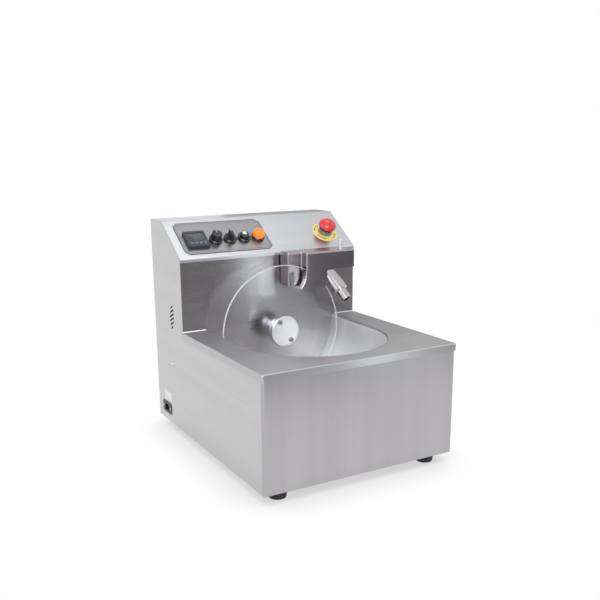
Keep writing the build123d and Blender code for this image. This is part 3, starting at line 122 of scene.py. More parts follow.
def lathe(bm, place, profile, steps=72, arc=TAU):
    """Turns a list of (radius, height) round the frame's out axis, closed at radius 0."""
    rings = []
    full = abs(arc - TAU) < 1e-6
    count = steps if full else steps + 1
    for r, h in profile:
        if r < 1e-6:
            rings.append([bm.verts.new(place @ Vector((0, 0, h)) * MM)])
            continue
        ring = []
        for i in range(count):
            a = arc * i / steps
            ring.append(bm.verts.new(place @ Vector((r * math.cos(a), r * math.sin(a), h)) * MM))
        rings.append(ring)
    for low, high in zip(rings, rings[1:]):
        for i in range(steps):
            j = (i + 1) % count
            corners = [low[i % len(low)], low[j % len(low)], high[j % len(high)], high[i % len(high)]]
            unique = list(dict.fromkeys(corners))
            if len(unique) > 2:
                bm.faces.new(unique)
    return rings


def prism(bm, place, outline, low, high, bevel=0.0, segments=3, taper=0.0):
    """Closed block between two heights of the frame, its top edges rounded."""
    top_scale = 1.0 - taper
    bottom = [bm.verts.new(place @ Vector((x, y, low)) * MM) for x, y in outline]
    top = [bm.verts.new(place @ Vector((x * top_scale, y * top_scale, high)) * MM) for x, y in outline]
    bm.faces.new(list(reversed(bottom)))
    cap = bm.faces.new(top)
    for i in range(len(outline)):
        j = (i + 1) % len(outline)
        bm.faces.new((bottom[i], bottom[j], top[j], top[i]))
    if bevel:
        bmesh.ops.bevel(bm, geom=list(cap.edges), offset=bevel * MM, offset_type="OFFSET", segments=segments,
                        affect="EDGES", profile=0.5, material=-1, clamp_overlap=True)
    return cap


def ring_fill(bm, outer, inner):
    """Flat face between two closed loops of vertices."""
    edges = []
    for loop in (outer, inner):
        for a, b in zip(loop, loop[1:] + loop[:1]):
            edges.append(bm.edges.get((a, b)) or bm.edges.new((a, b)))
    bmesh.ops.triangle_fill(bm, edges=edges, use_beauty=True, use_dissolve=False)


def oval(x, y, width, height, radius, steps=6):
    """Rounded rectangle as an outline."""
    w, h = width / 2, height / 2
    return soften([(x - w, y - h), (x + w, y - h), (x + w, y + h), (x - w, y + h)], radius, steps=steps)


def circle(radius, steps=48, x=0.0, y=0.0):
    return [(x + radius * math.cos(TAU * i / steps), y + radius * math.sin(TAU * i / steps)) for i in range(steps)]


made = []


def piece(name, bm, body, materials, replaces=(), smooth=32):
    """Turns a mesh into a named piece that rides on its body."""
    bmesh.ops.remove_doubles(bm, verts=bm.verts, dist=1e-6)
    bmesh.ops.recalc_face_normals(bm, faces=bm.faces)
    mesh = bpy.data.meshes.new(name)
    bm.to_mesh(mesh)
    bm.free()
    obj = bpy.data.objects.new(name, mesh)
    bpy.context.scene.collection.objects.link(obj)
    for material in materials if isinstance(materials, (list, tuple)) else [materials]:
        mesh.materials.append(material)
    mesh.shade_smooth()
    mesh.set_sharp_from_angle(angle=math.radians(smooth))
    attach(obj, body)
    if replaces:
        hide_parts(*replaces)
    made.append(obj)
    return obj


# %% [markdown]
# ## Materials
# Every material is made of nodes in object coordinates, so it needs no unwrapped image.
# Steel has a fine grain along one direction, wide soft bands across it, and faint smudges in its gloss.

# %% Node helpers
def new_material(name):
    material = bpy.data.materials.new(name)
    material.use_nodes = True
    tree = material.node_tree
    tree.nodes.clear()
    output = tree.nodes.new("ShaderNodeOutputMaterial")
    shader = tree.nodes.new("ShaderNodeBsdfPrincipled")
    tree.links.new(shader.outputs["BSDF"], output.inputs["Surface"])
    return material, tree, shader


def noise(tree, scale, stretch=(1, 1, 1), detail=3.0, roughness=0.55, distortion=0.0):
    """Noise in object coordinates. stretch above 1 makes it finer along that axis."""
    coordinates = tree.nodes.new("ShaderNodeTexCoord")
    mapping = tree.nodes.new("ShaderNodeMapping")
    mapping.inputs["Scale"].default_value = stretch
    texture = tree.nodes.new("ShaderNodeTexNoise")
    texture.inputs["Scale"].default_value = scale
    texture.inputs["Detail"].default_value = detail
    texture.inputs["Roughness"].default_value = roughness
    texture.inputs["Distortion"].default_value = distortion
    tree.links.new(coordinates.outputs["Object"], mapping.inputs["Vector"])
    tree.links.new(mapping.outputs["Vector"], texture.inputs["Vector"])
    return texture.outputs["Fac"]


def spread(tree, value, low, high, out_low, out_high):
    """Maps a value from one range to another."""
    node = tree.nodes.new("ShaderNodeMapRange")
    node.inputs["From Min"].default_value = low
    node.inputs["From Max"].default_value = high
    node.inputs["To Min"].default_value = out_low
    node.inputs["To Max"].default_value = out_high
    tree.links.new(value, node.inputs["Value"])
    return node.outputs["Result"]


def blend_colors(tree, value, dark, light):
    node = tree.nodes.new("ShaderNodeMix")
    node.data_type = "RGBA"
    node.inputs["A"].default_value = (*dark, 1)
    node.inputs["B"].default_value = (*light, 1)
    tree.links.new(value, node.inputs["Factor"])
    return node.outputs["Result"]


def add_bump(tree, shader, height, strength, distance):
    bump = tree.nodes.new("ShaderNodeBump")
    bump.inputs["Strength"].default_value = strength
    bump.inputs["Distance"].default_value = distance
    tree.links.new(height, bump.inputs["Height"])
    if shader.inputs["Normal"].is_linked:
        tree.links.new(shader.inputs["Normal"].links[0].from_socket, bump.inputs["Normal"])
    tree.links.new(bump.outputs["Normal"], shader.inputs["Normal"])


def steel(name, color, rough, grain, band=0.10, aniso=0.55, fine=0.25, smudge=0.02, metallic=1.0):
    """Brushed stainless steel. grain is the direction of the brush marks."""
    material, tree, shader = new_material(name)
    across = tuple(1.0 if abs(g) < 0.5 else 0.012 for g in grain)
    wide = tuple(1.0 if abs(g) < 0.5 else 0.05 for g in grain)
    bands = spread(tree, noise(tree, 22, wide, detail=4, roughness=0.6), 0.3, 0.7, 0, 1)
    dark = tuple(c * (1 - band) for c in color)
    light = tuple(min(1.0, c * (1 + band)) for c in color)
    tree.links.new(blend_colors(tree, bands, dark, light), shader.inputs["Base Color"])
    lines = noise(tree, 2600, across, detail=2, roughness=0.6)
    blotches = noise(tree, 9, detail=2, roughness=0.5)
    gloss = tree.nodes.new("ShaderNodeMath")
    gloss.operation = "ADD"
    tree.links.new(spread(tree, blotches, 0.3, 0.7, rough - smudge, rough + smudge), gloss.inputs[0])
    tree.links.new(spread(tree, lines, 0.3, 0.7, -0.03, 0.03), gloss.inputs[1])
    tree.links.new(gloss.outputs["Value"], shader.inputs["Roughness"])
    add_bump(tree, shader, lines, fine, 0.00006)
    shader.inputs["Metallic"].default_value = metallic
    shader.inputs["Anisotropic"].default_value = aniso
    tangent = tree.nodes.new("ShaderNodeCombineXYZ")
    for axis, value in zip("XYZ", grain):
        tangent.inputs[axis].default_value = value
    tree.links.new(tangent.outputs["Vector"], shader.inputs["Tangent"])
    shader.inputs["Anisotropic Rotation"].default_value = 0.25
    return material


def turned(name, color, rough, center, axis):
    """Turned or spun steel: fine rings round an axis through center."""
    material, tree, shader = new_material(name)
    coordinates = tree.nodes.new("ShaderNodeTexCoord")
    mapping = tree.nodes.new("ShaderNodeMapping")
    mapping.inputs["Location"].default_value = tuple(-c * MM for c in center)
    mapping.vector_type = "POINT"
    tree.links.new(coordinates.outputs["Object"], mapping.inputs["Vector"])
    wave = tree.nodes.new("ShaderNodeTexWave")
    wave.wave_type = "RINGS"
    wave.rings_direction = axis
    wave.inputs["Scale"].default_value = 900
    wave.inputs["Distortion"].default_value = 1.5
    wave.inputs["Detail"].default_value = 2
    tree.links.new(mapping.outputs["Vector"], wave.inputs["Vector"])
    blotches = spread(tree, noise(tree, 45, detail=4), 0.3, 0.7, 0, 1)
    dark = tuple(c * 0.92 for c in color)
    light = tuple(min(1.0, c * 1.06) for c in color)
    tree.links.new(blend_colors(tree, blotches, dark, light), shader.inputs["Base Color"])
    tree.links.new(spread(tree, blotches, 0, 1, rough - 0.05, rough + 0.05), shader.inputs["Roughness"])
    add_bump(tree, shader, wave.outputs["Fac"], 0.12, 0.00004)
    shader.inputs["Metallic"].default_value = 1.0
    return material


def plain(name, color, rough, metallic=0.0, grain_scale=900, grain=0.15, tint=0.08, coat=0.0):
    """Moulded plastic, rubber, paint or cast metal: a fine skin texture and uneven gloss."""
    material, tree, shader = new_material(name)
    mottled = spread(tree, noise(tree, 60, detail=5, roughness=0.6), 0.3, 0.7, 0, 1)
    dark = tuple(c * (1 - tint) for c in color)
    light = tuple(min(1.0, c * (1 + tint) + 0.002) for c in color)
    tree.links.new(blend_colors(tree, mottled, dark, light), shader.inputs["Base Color"])
    skin = noise(tree, grain_scale, detail=2)
    tree.links.new(spread(tree, skin, 0.3, 0.7, max(0.02, rough - 0.06), min(1, rough + 0.06)), shader.inputs["Roughness"])
    add_bump(tree, shader, skin, grain, 0.00008)
    shader.inputs["Metallic"].default_value = metallic
    shader.inputs["Coat Weight"].default_value = coat
    return material


# %% Steel, plastics and clear materials
ALONG_X, ALONG_Y, ALONG_Z = (1, 0, 0), (0, 1, 0), (0, 0, 1)
UP_SLOPE = (0, math.cos(SLOPE), math.sin(SLOPE))
mat = {
    # The steel sheets are one stainless; their base colours are set a little apart per surface as painted light and
    # shade, to match how light falls on each.
    "casing_steel": steel("casing_steel", (0.55, 0.55, 0.555), 0.34, ALONG_Y, band=0.05),
    "front_steel": steel("front_steel", (0.48, 0.465, 0.48), 0.33, ALONG_Z, band=0.05),
    "deck_steel": steel("deck_steel", (0.50, 0.50, 0.51), 0.33, ALONG_X, band=0.05),
    "cowl_steel": steel("cowl_steel", (0.53, 0.545, 0.57), 0.30, ALONG_X, band=0.05),
    # The wall's steel is much darker than the other sheets: painted shade and a painted dark reflection.
    "wall_steel": steel("wall_steel", (0.27, 0.255, 0.265), 0.25, ALONG_X, band=0.05, aniso=0.85, fine=0.06, smudge=0.01),
    # The tank's steel is near white: painted light for its brightly lit inside.
    "tank_steel": steel("tank_steel", (1.0, 1.0, 1.0), 0.42, ALONG_Y, band=0.03, aniso=0.2, metallic=0.7),
    # The hood's steel is darker with a purple tone: painted shade and a painted dark reflection on its front.
    "chute_steel": steel("chute_steel", (0.36, 0.32, 0.345), 0.18, ALONG_X, band=0.05, aniso=0.3, fine=0.12, smudge=0.01),
    "spout_steel": plain("spout_steel", (0.46, 0.45, 0.46), 0.14, metallic=1.0, grain_scale=300, grain=0.25, tint=0.06),
    "screw_dark": plain("screw_dark", (0.24, 0.24, 0.25), 0.34, metallic=1.0, grain=0.05),
    "hub_steel": turned("hub_steel", (0.72, 0.73, 0.75), 0.24, (0, 0, AXIS_Z), "Y"),
    "screw_steel": plain("screw_steel", (0.66, 0.66, 0.67), 0.30, metallic=1.0, grain=0.05),
    "bracket_steel": steel("bracket_steel", (0.55, 0.55, 0.55), 0.40, ALONG_X),
    "cast_housing": plain("cast_housing", (0.55, 0.55, 0.56), 0.45, metallic=1.0, grain_scale=500, grain=0.4),
    "bush_bronze": plain("bush_bronze", (0.60, 0.38, 0.17), 0.35, metallic=1.0),
    "foot_rubber": plain("foot_rubber", (0.012, 0.012, 0.013), 0.62, grain_scale=1400, grain=0.3),
    "heater_silicone": plain("heater_silicone", (0.42, 0.08, 0.05), 0.60, grain_scale=700, grain=0.4),
    "sensor_block": plain("sensor_block", (0.60, 0.60, 0.62), 0.35, metallic=1.0),
    "overlay_film": plain("overlay_film", (0.30, 0.295, 0.31), 0.30, metallic=0.92, grain_scale=1800, grain=0.05, tint=0.03),
    "controller_plastic": plain("controller_plastic", (0.035, 0.037, 0.042), 0.42, grain_scale=2200, grain=0.3),
    "key_plastic": plain("key_plastic", (0.16, 0.22, 0.28), 0.45, grain_scale=2200),
    "fitting_black": plain("fitting_black", (0.012, 0.012, 0.014), 0.26, grain_scale=1800, coat=0.3),
    "knob_black": plain("knob_black", (0.014, 0.015, 0.018), 0.34, grain_scale=2000, grain=0.2),
    "nut_plastic": plain("nut_plastic", (0.03, 0.03, 0.03), 0.5),
    "block_plastic": plain("block_plastic", (0.02, 0.02, 0.022), 0.5),
    "collar_plastic": plain("collar_plastic", (0.20, 0.20, 0.19), 0.45),
    "stop_yellow": plain("stop_yellow", (0.90, 0.74, 0.24), 0.38, grain_scale=1200, grain=0.05, tint=0.03),
    "stop_red": plain("stop_red", (0.70, 0.025, 0.022), 0.26, grain_scale=1600, grain=0.05, tint=0.05, coat=0.35),
    "blade_plastic": plain("blade_plastic", (0.20, 0.20, 0.205), 0.5),
    "inlet_plastic": plain("inlet_plastic", (0.02, 0.022, 0.026), 0.40, grain_scale=2000, grain=0.25),
    "blade_brass": plain("blade_brass", (0.72, 0.66, 0.52), 0.25, metallic=1.0),
    "motor_paint": plain("motor_paint", (0.07, 0.075, 0.085), 0.38, coat=0.2),
    "relay_plastic": plain("relay_plastic", (0.45, 0.47, 0.48), 0.45),
    "mark_white": plain("mark_white", (0.85, 0.86, 0.85), 0.4),
    "mark_dark": plain("mark_dark", (0.05, 0.05, 0.06), 0.4),
    "segment_grey": plain("segment_grey", (0.16, 0.18, 0.175), 0.3),
    "label_white": plain("label_white", (0.86, 0.87, 0.88), 0.35, grain_scale=1500, grain=0.05, tint=0.02),
}


def clear_material(name, color, rough, transmission, ior=1.5, emission=0.0, tint=0.03):
    """Clear or translucent plastic."""
    material, tree, shader = new_material(name)
    clouds = spread(tree, noise(tree, 30, detail=3), 0.3, 0.7, 0, 1)
    dark = tuple(c * (1 - tint) for c in color)
    tree.links.new(blend_colors(tree, clouds, dark, color), shader.inputs["Base Color"])
    tree.links.new(spread(tree, clouds, 0, 1, max(0.0, rough - 0.02), rough + 0.02), shader.inputs["Roughness"])
    shader.inputs["Transmission Weight"].default_value = transmission
    shader.inputs["IOR"].default_value = ior
    if emission:
        shader.inputs["Emission Color"].default_value = (*color, 1)
        shader.inputs["Emission Strength"].default_value = emission
    return material


mat["wheel_clear"] = clear_material("wheel_clear", (0.985, 0.995, 1.0), 0.0, 1.0, ior=1.22, tint=0.01)
# The rim's emission is a painted highlight: the edge glows without a lamp.
mat["wheel_rim_painted_glow"] = clear_material("wheel_rim_painted_glow", (0.92, 0.95, 0.96), 0.30, 0.35, ior=1.5, emission=0.12)
mat["display_glass"] = clear_material("display_glass", (0.10, 0.125, 0.12), 0.12, 0.0, tint=0.15)
mat["window_white"] = clear_material("window_white", (0.80, 0.88, 0.82), 0.25, 0.2, emission=0.15)
mat["lamp_orange"] = clear_material("lamp_orange", (1.0, 0.30, 0.02), 0.18, 0.25, emission=0.25, tint=0.1)
print("materials:", len(mat))

# %% [markdown]
# ## Solids that stay
# Each solid gets its steel or plastic. Sheet edges are welded back together and softened by a narrow bevel,
# which gives the bright edge lines that folded sheet has.

# %% Dress the solids
def even_normals(obj):
    """Keeps large flat faces flat where they meet a small rounded edge."""
    even = obj.modifiers.new("even_normals", "WEIGHTED_NORMAL")
    even.mode = "FACE_AREA"
    even.weight = 100
    even.keep_sharp = True


slots = {s["node"]: s["material_slot"] for s in frame["record"]["subparts"]}
edge_width = {
    "front_panel": 0.5, "side_panel_left": 0.4, "side_panel_right": 0.4, "rear_cover": 0.4, "control_cowl": 0.4,
    "back_wall": 0.3, "chute_hood": 0.7, "front_skirt": 0.4, "rear_skirt": 0.4, "panel_overlay": 0.2,
    "power_inlet": 0.4, "scraper_blades": 0.4, "gear_motor": 0.6, "motor_bracket": 0.5, "relays": 0.6,
    "fan_frame": 0.4, "contact_blocks": 0.4, "base_plate": 0.4, "cross_brace": 0.3,
}
for node, obj in nodes.items():
    obj.data.materials.clear()
    obj.data.materials.append(mat["spout_steel" if node == "spout" else slots[node]])
    for polygon in obj.data.polygons:
        polygon.material_index = 0
    if node in edge_width:
        weld = obj.modifiers.new("weld", "WELD")
        weld.merge_threshold = 0.00002
        flat = obj.modifiers.new("flat", "DECIMATE")
        flat.decimate_type = "DISSOLVE"
        flat.angle_limit = math.radians(0.4)
        bevel = obj.modifiers.new("edges", "BEVEL")
        bevel.width = edge_width[node] * MM
        bevel.segments = 2
        bevel.limit_method = "ANGLE"
        bevel.angle_limit = math.radians(35)
        even_normals(obj)
print("dressed solids:", len(nodes), "with softened edges:", len(edge_width))

# %% [markdown]
# ## Camera, light and floor
# The camera stands where the photograph was taken: about 1.6 m away, 29 degrees left of the front, 14 degrees down.

# %% Camera
yaw, pitch, roll = math.radians(28.73), math.radians(14.12), math.radians(-0.659)
forward = Vector((math.sin(yaw) * math.cos(pitch), math.cos(yaw) * math.cos(pitch), -math.sin(pitch)))
right = Vector((math.cos(yaw), -math.sin(yaw), 0))
up = right.cross(forward)
right_rolled = math.cos(roll) * right + math.sin(roll) * up
up_rolled = -math.sin(roll) * right + math.cos(roll) * up
camera = bpy.data.objects.new("camera", bpy.data.cameras.new("camera"))
bpy.context.scene.collection.objects.link(camera)
axes = Matrix((right_rolled, up_rolled, -forward)).transposed().to_4x4()
camera.matrix_world = Matrix.Translation((-0.7973, -1.4071, 0.6298)) @ axes
camera.data.sensor_width = 36
camera.data.lens = 784.66 / 600 * 36
camera.data.shift_x = (300 - 283.8) / 600
camera.data.shift_y = (340.99 - 300) / 600
camera.data.clip_start = 0.01
bpy.context.scene.camera = camera
print("camera lens in mm:", round(camera.data.lens, 2))

# %% The white backdrop, as the eye, steel and clear plastic see it
scene = bpy.context.scene


def math_node(tree, operation, first, second=0.0):
    """One step of arithmetic. Either input is a number or another node's output."""
    node = tree.nodes.new("ShaderNodeMath")
    node.operation = operation
    for socket, value in zip(node.inputs, (first, second)):
        if isinstance(value, (int, float)):
            socket.default_value = value
        else:
            tree.links.new(value, socket)
    return node.outputs["Value"]


def backdrop(tree, real, shown):
    """Shows the white backdrop to the camera, to reflections and through clear plastic, and the real one to soft light."""
    path = tree.nodes.new("ShaderNodeLightPath")
    seen = math_node(tree, "MAXIMUM", path.outputs["Is Camera Ray"], path.outputs["Is Glossy Ray"])
    seen = math_node(tree, "MAXIMUM", seen, path.outputs["Is Transmission Ray"])
    mix = tree.nodes.new("ShaderNodeMixShader")
    tree.links.new(seen, mix.inputs["Fac"])
    tree.links.new(real, mix.inputs[1])
    tree.links.new(shown, mix.inputs[2])
    return mix.outputs["Shader"]


floor_mesh = bmesh.new()
bmesh.ops.create_grid(floor_mesh, x_segments=1, y_segments=1, size=12, matrix=Matrix.Translation((0, 0, -0.0002)))
floor_data = bpy.data.meshes.new("floor")
floor_mesh.to_mesh(floor_data)
floor_mesh.free()
floor = bpy.data.objects.new("floor", floor_data)
scene.collection.objects.link(floor)
floor_material, floor_tree, floor_shader = new_material("floor")
floor_shader.inputs["Base Color"].default_value = (0.6, 0.6, 0.61, 1)
floor_shader.inputs["Roughness"].default_value = 0.9
floor_white = floor_tree.nodes.new("ShaderNodeEmission")
# Ambient occlusion lowers the floor's white near the machine: a painted contact shadow, not a cast one.
floor_painted_shadow = floor_tree.nodes.new("ShaderNodeAmbientOcclusion")
floor_painted_shadow.inputs["Distance"].default_value = 0.12
floor_tree.links.new(spread(floor_tree, floor_painted_shadow.outputs["AO"], 0.15, 0.85, 0.62, 1.0), floor_white.inputs["Strength"])
floor_view = backdrop(floor_tree, floor_shader.outputs["BSDF"], floor_white.outputs["Emission"])
floor_output = [n for n in floor_tree.nodes if n.type == "OUTPUT_MATERIAL"][0]
floor_tree.links.new(floor_view, floor_output.inputs["Surface"])
floor_data.materials.append(floor_material)

world = bpy.data.worlds.new("studio")
scene.world = world
world.use_nodes = True
tree = world.node_tree
tree.nodes.clear()
world_output = tree.nodes.new("ShaderNodeOutputWorld")
studio = tree.nodes.new("ShaderNodeBackground")
studio.inputs["Color"].default_value = (0.5, 0.5, 0.51, 1)
white = tree.nodes.new("ShaderNodeBackground")
white.inputs["Color"].default_value = (1, 1, 1, 1)
tree.links.new(backdrop(tree, studio.outputs["Background"], white.outputs["Background"]), world_output.inputs["Surface"])

# %% Grey cards, two in front and one behind, that paint a dark reflection into the bright steel
card_material, card_tree, card_shader = new_material("grey_card")
card_painted_reflection = card_tree.nodes.new("ShaderNodeEmission")
card_tree.links.new(spread(card_tree, noise(card_tree, 3, detail=1), 0.3, 0.7, 0.13, 0.20), card_painted_reflection.inputs["Strength"])
card_painted_reflection.inputs["Color"].default_value = (1.0, 0.96, 0.98, 1)
card_output = [n for n in card_tree.nodes if n.type == "OUTPUT_MATERIAL"][0]
card_tree.links.new(card_painted_reflection.outputs["Emission"], card_output.inputs["Surface"])
CARDS = {  # name: left and right edge, distance in front (-) or behind (+), height, in metres
    "card_left": (-0.05, 0.43, -0.9, 0.36),
    "card_right": (0.515, 1.7, -0.9, 0.36),
    "card_back": (0.3, 2.6, 1.0, 0.75),
}
for name, (left, right, depth, height) in CARDS.items():
    bm = bmesh.new()
    upright_grid = Matrix.Translation(((left + right) / 2, depth, height / 2)) @ Matrix.Rotation(math.pi / 2, 4, "X")
    stretch = Matrix.Diagonal(((right - left) / 2, height / 2, 1, 1))
    bmesh.ops.create_grid(bm, x_segments=1, y_segments=1, size=1, matrix=upright_grid @ stretch)
    data = bpy.data.meshes.new(name)
    bm.to_mesh(data)
    bm.free()
    data.materials.append(card_material)
    card = bpy.data.objects.new(name, data)
    scene.collection.objects.link(card)
    # Seen only by reflections, the cards' emission is a painted dark reflection.
    card.visible_camera = card.visible_transmission = card.visible_shadow = card.visible_diffuse = False


# %% Lamps
def area_light(name, place, aim, size, power, color=(1, 1, 1)):
    data = bpy.data.lights.new(name, "AREA")
    data.shape = "RECTANGLE"
    data.size, data.size_y = size
    data.energy = power
    data.color = color
    lamp = bpy.data.objects.new(name, data)
    scene.collection.objects.link(lamp)
    lamp.location = place
    lamp.rotation_euler = (Vector(aim) - Vector(place)).to_track_quat("-Z", "Y").to_euler()
    return lamp


area_light("key", (-2.4, 0.2, 1.2), (0, 0, 0.2), (1.6, 1.6), 12)
area_light("fill", (1.8, -1.2, 1.6), (0, 0, 0.3), (1.0, 1.4), 3)
area_light("strip", (0.4725, -0.92, 0.28), (0.0, 0.1, 0.28), (0.05, 0.5), 0.42, (0.88, 0.98, 1.0))
area_light("top", (0.3, -0.2, 2.3), (0, -0.1, 0.2), (1.2, 1.0), 7)
area_light("front", (-0.85, -1.95, 1.25), (0.1, 0.0, 0.2), (1.5, 1.2), 30, (0.93, 0.98, 1.0))
scene.view_settings.view_transform = "Standard"

# %% [markdown]
# ## Deck and tank
# One swept skin each. The path runs down the right side of the opening, round its front and back up the left side.

# %% Deck with its rolled rim, and the tank
def u_path(offset, straight=24, curve=96, back=WALL_Y):
    """Points round the opening at a distance from its middle line, right side first."""
    points = [(offset, back + (TANK_Y - back) * i / straight) for i in range(straight)]
    points += [(offset * math.cos(-math.pi * i / curve), TANK_Y + offset * math.sin(-math.pi * i / curve)) for i in range(curve + 1)]
    points += [(-offset, TANK_Y + (back - TANK_Y) * i / straight) for i in range(1, straight + 1)]
    return points


def sweep(bm, profile, make_path):
    """Skin through one path for each (offset, height) of the profile."""
    rows = [[bm.verts.new(Vector((x, y, height)) * MM) for x, y in make_path(offset)] for offset, height in profile]
    for low, high in zip(rows, rows[1:]):
        for i in range(len(low) - 1):
            bm.faces.new((low[i], low[i + 1], high[i + 1], high[i]))
    return rows


def lip_path(inset, corner=4.0, steps=8):
    """Points round the deck's outside from the back right corner to the back left one."""
    x, y, r = DECK_HALF - inset, DECK_FRONT + inset, max(corner - inset, 0.4)
    points = [(x, WALL_Y)]
    points += [(x - r + r * math.cos(-math.pi / 2 * i / steps), y + r + r * math.sin(-math.pi / 2 * i / steps)) for i in range(steps + 1)]
    points += [(-x + r - r * math.sin(math.pi / 2 * i / steps), y + r - r * math.cos(math.pi / 2 * i / steps)) for i in range(steps + 1)]
    return points + [(-x, WALL_Y)]


bm = bmesh.new()
bend = 2.0
lip_profile = [(SHEET, DECK_Z - DECK_LIP + 0.3), (SHEET - 0.3, DECK_Z - DECK_LIP), (0.3, DECK_Z - DECK_LIP), (0, DECK_Z - DECK_LIP + 0.3)]
lip_profile += [(bend - bend * math.cos(a), DECK_Z - bend + bend * math.sin(a)) for a in (math.pi / 12 * k for k in range(7))]
lip_rows = sweep(bm, lip_profile, lip_path)
rim_profile = [(TANK_R + RIM_R - RIM_R * math.sin(a), DECK_Z - RIM_R + RIM_R * math.cos(a)) for a in (math.pi / 16 * k for k in range(9))]
rim_rows = sweep(bm, rim_profile, u_path)
ring_fill(bm, lip_rows[-1] + list(reversed(rim_rows[0])), [])
deck = piece("Deck", bm, "machine", mat["deck_steel"], ["deck_plate"], smooth=40)
print("deck faces:", len(deck.data.polygons))

bm = bmesh.new()
tank_profile = [(TANK_R * math.cos(a), TANK_Z - TANK_R * math.sin(a)) for a in (math.pi / 96 * k for k in range(48))]
tank_rows = sweep(bm, tank_profile, u_path)
low = tank_rows[-1]
floor_line = [bm.verts.new(Vector((0, v.co.y / MM if i < 24 or i > 120 else TANK_Y, TANK_Z - TANK_R)) * MM) for i, v in enumerate(low)]
for i in range(len(low) - 1):
    corners = list(dict.fromkeys((low[i], low[i + 1], floor_line[i + 1], floor_line[i])))
    bm.faces.new(corners)
tank = piece("Tank", bm, "machine", mat["tank_steel"], ["tank"], smooth=60)
wall = tank.modifiers.new("sheet", "SOLIDIFY")
wall.thickness = SHEET * MM
wall.offset = -1.0
print("tank faces:", len(tank.data.polygons))

# %% [markdown]
# ## Wheel and hub
# A clear disc with a machined rim that catches the light and also glows as a painted highlight, clamped by a turned cap
# with two socket screws.

# %% Wheel disc, hub cap, boss and screws
bm = bmesh.new()
rim = 0.8
outer = soften([(WHEEL_R, -WHEEL_BACK), (WHEEL_R, -WHEEL_FRONT)], 0)
edge = [(WHEEL_R - rim, -WHEEL_BACK), (WHEEL_R - 0.23, -WHEEL_BACK + 0.23), (WHEEL_R, -WHEEL_BACK + rim)]
edge += [(WHEEL_R, -WHEEL_FRONT - rim), (WHEEL_R - 0.23, -WHEEL_FRONT - 0.23), (WHEEL_R - rim, -WHEEL_FRONT)]
disc_profile = [(10.05, -WHEEL_FRONT), (10.05, -WHEEL_BACK)] + edge + [(10.05, -WHEEL_FRONT)]
lathe(bm, shaft, disc_profile, steps=256)
disc = piece("Wheel_Disc", bm, "wheel", [mat["wheel_clear"], mat["wheel_rim_painted_glow"]], ["wheel_disc"])
# Polygons at the outer edge take the rim material with its painted highlight glow.
for polygon in disc.data.polygons:
    middle = polygon.center / MM
    if math.hypot(middle.x, middle.z - AXIS_Z) > WHEEL_R - 0.9:
        polygon.material_index = 1


def socket_head(bm, place, radius, base, height, recess, depth, round_edge=0.8, steps=40):
    """Screw head with a rounded top edge and a recess of any outline."""
    r = round_edge
    profile = [(radius, base)] + [(radius - r + r * math.cos(a), base + height - r + r * math.sin(a)) for a in (math.pi / 10 * k for k in range(6))]
    rings = lathe(bm, place, profile, steps=steps)
    top = [bm.verts.new(place @ Vector((x, y, base + height)) * MM) for x, y in recess]
    bottom = [bm.verts.new(place @ Vector((x * 0.92, y * 0.92, base + height - depth)) * MM) for x, y in recess]
    ring_fill(bm, rings[-1], top)
    bm.faces.new(bottom)
    for i in range(len(top)):
        j = (i + 1) % len(top)
        bm.faces.new((top[i], top[j], bottom[j], bottom[i]))


hexagon = circle(2.6, 6)
cross = [(0.45, 0.45), (0.45, 2.2), (-0.45, 2.2), (-0.45, 0.45), (-2.2, 0.45), (-2.2, -0.45), (-0.45, -0.45), (-0.45, -2.2), (0.45, -2.2), (0.45, -0.45), (2.2, -0.45), (2.2, 0.45)]
CAP_R, CAP_FRONT = 33.0, 38.5
bm = bmesh.new()
cap_profile = [(0, -WHEEL_FRONT + 0.1), (CAP_R - 0.6, -WHEEL_FRONT), (CAP_R, -WHEEL_FRONT + 0.6)]
cap_profile += [(CAP_R - 1.6 + 1.6 * math.cos(a), -CAP_FRONT - 1.6 + 1.6 * math.sin(a)) for a in (math.pi / 12 * k for k in range(7))]
cap_profile += [(30.4, -CAP_FRONT), (30.2, -CAP_FRONT - 0.5), (29.4, -CAP_FRONT - 0.5), (29.2, -CAP_FRONT), (0, -CAP_FRONT)]
lathe(bm, shaft, cap_profile, steps=128)
hub_spots = [(24.5 * math.cos(math.radians(a)), 24.5 * math.sin(math.radians(a))) for a in (123, 303)]
piece("Hub_Cap", bm, "wheel", mat["hub_steel"], ["hub_cap"])
bm = bmesh.new()
for x, z in hub_spots:
    socket_head(bm, shaft @ Matrix.Translation((x, z, 0)), 5.0, -CAP_FRONT, 3.0, hexagon, 2.0, 1.2)
piece("Hub_Screws", bm, "wheel", mat["screw_dark"], ["hub_screws"])
bm = bmesh.new()
boss_profile = [(10.05, -WHEEL_BACK), (29.4, -WHEEL_BACK), (30, -58.1), (30, -62.4), (29.4, -63), (19.5, -63), (18.8, -63.3), (18.5, -64)]
boss_profile += [(18.5, -96.5), (17.9, -97.3), (10.05, -97.3)]
lathe(bm, shaft, boss_profile, steps=96)
piece("Hub_Boss", bm, "wheel", mat["hub_steel"], ["hub_boss"])

# %% [markdown]
# ## Feet, screws and hood fittings
# Small turned pieces: rubber feet with a rounded tread, pan heads with a cross recess, and the pin.

# %% Feet and casing screws
bm = bmesh.new()
foot_profile = [(3.2, 9), (3.2, 20), (18.5, 20), (18.86, 19.86), (19, 19.5), (19, 16.4), (18.86, 15.5), (17.7, 8.6), (17.3, 8.2)]
foot_profile += [(17.5, 7.4), (16.62, 2.0), (16.3, 0.9), (15.9, 0.25), (15.3, 0), (8.6, 0), (8, 0.5), (8, 8.7), (7.7, 9), (3.2, 9)]
for x in (-170, 170):
    for y in (-232, 232):
        lathe(bm, Matrix.Translation((x, y, 0)), foot_profile, steps=64)
piece("Feet", bm, "machine", mat["foot_rubber"], ["feet"])


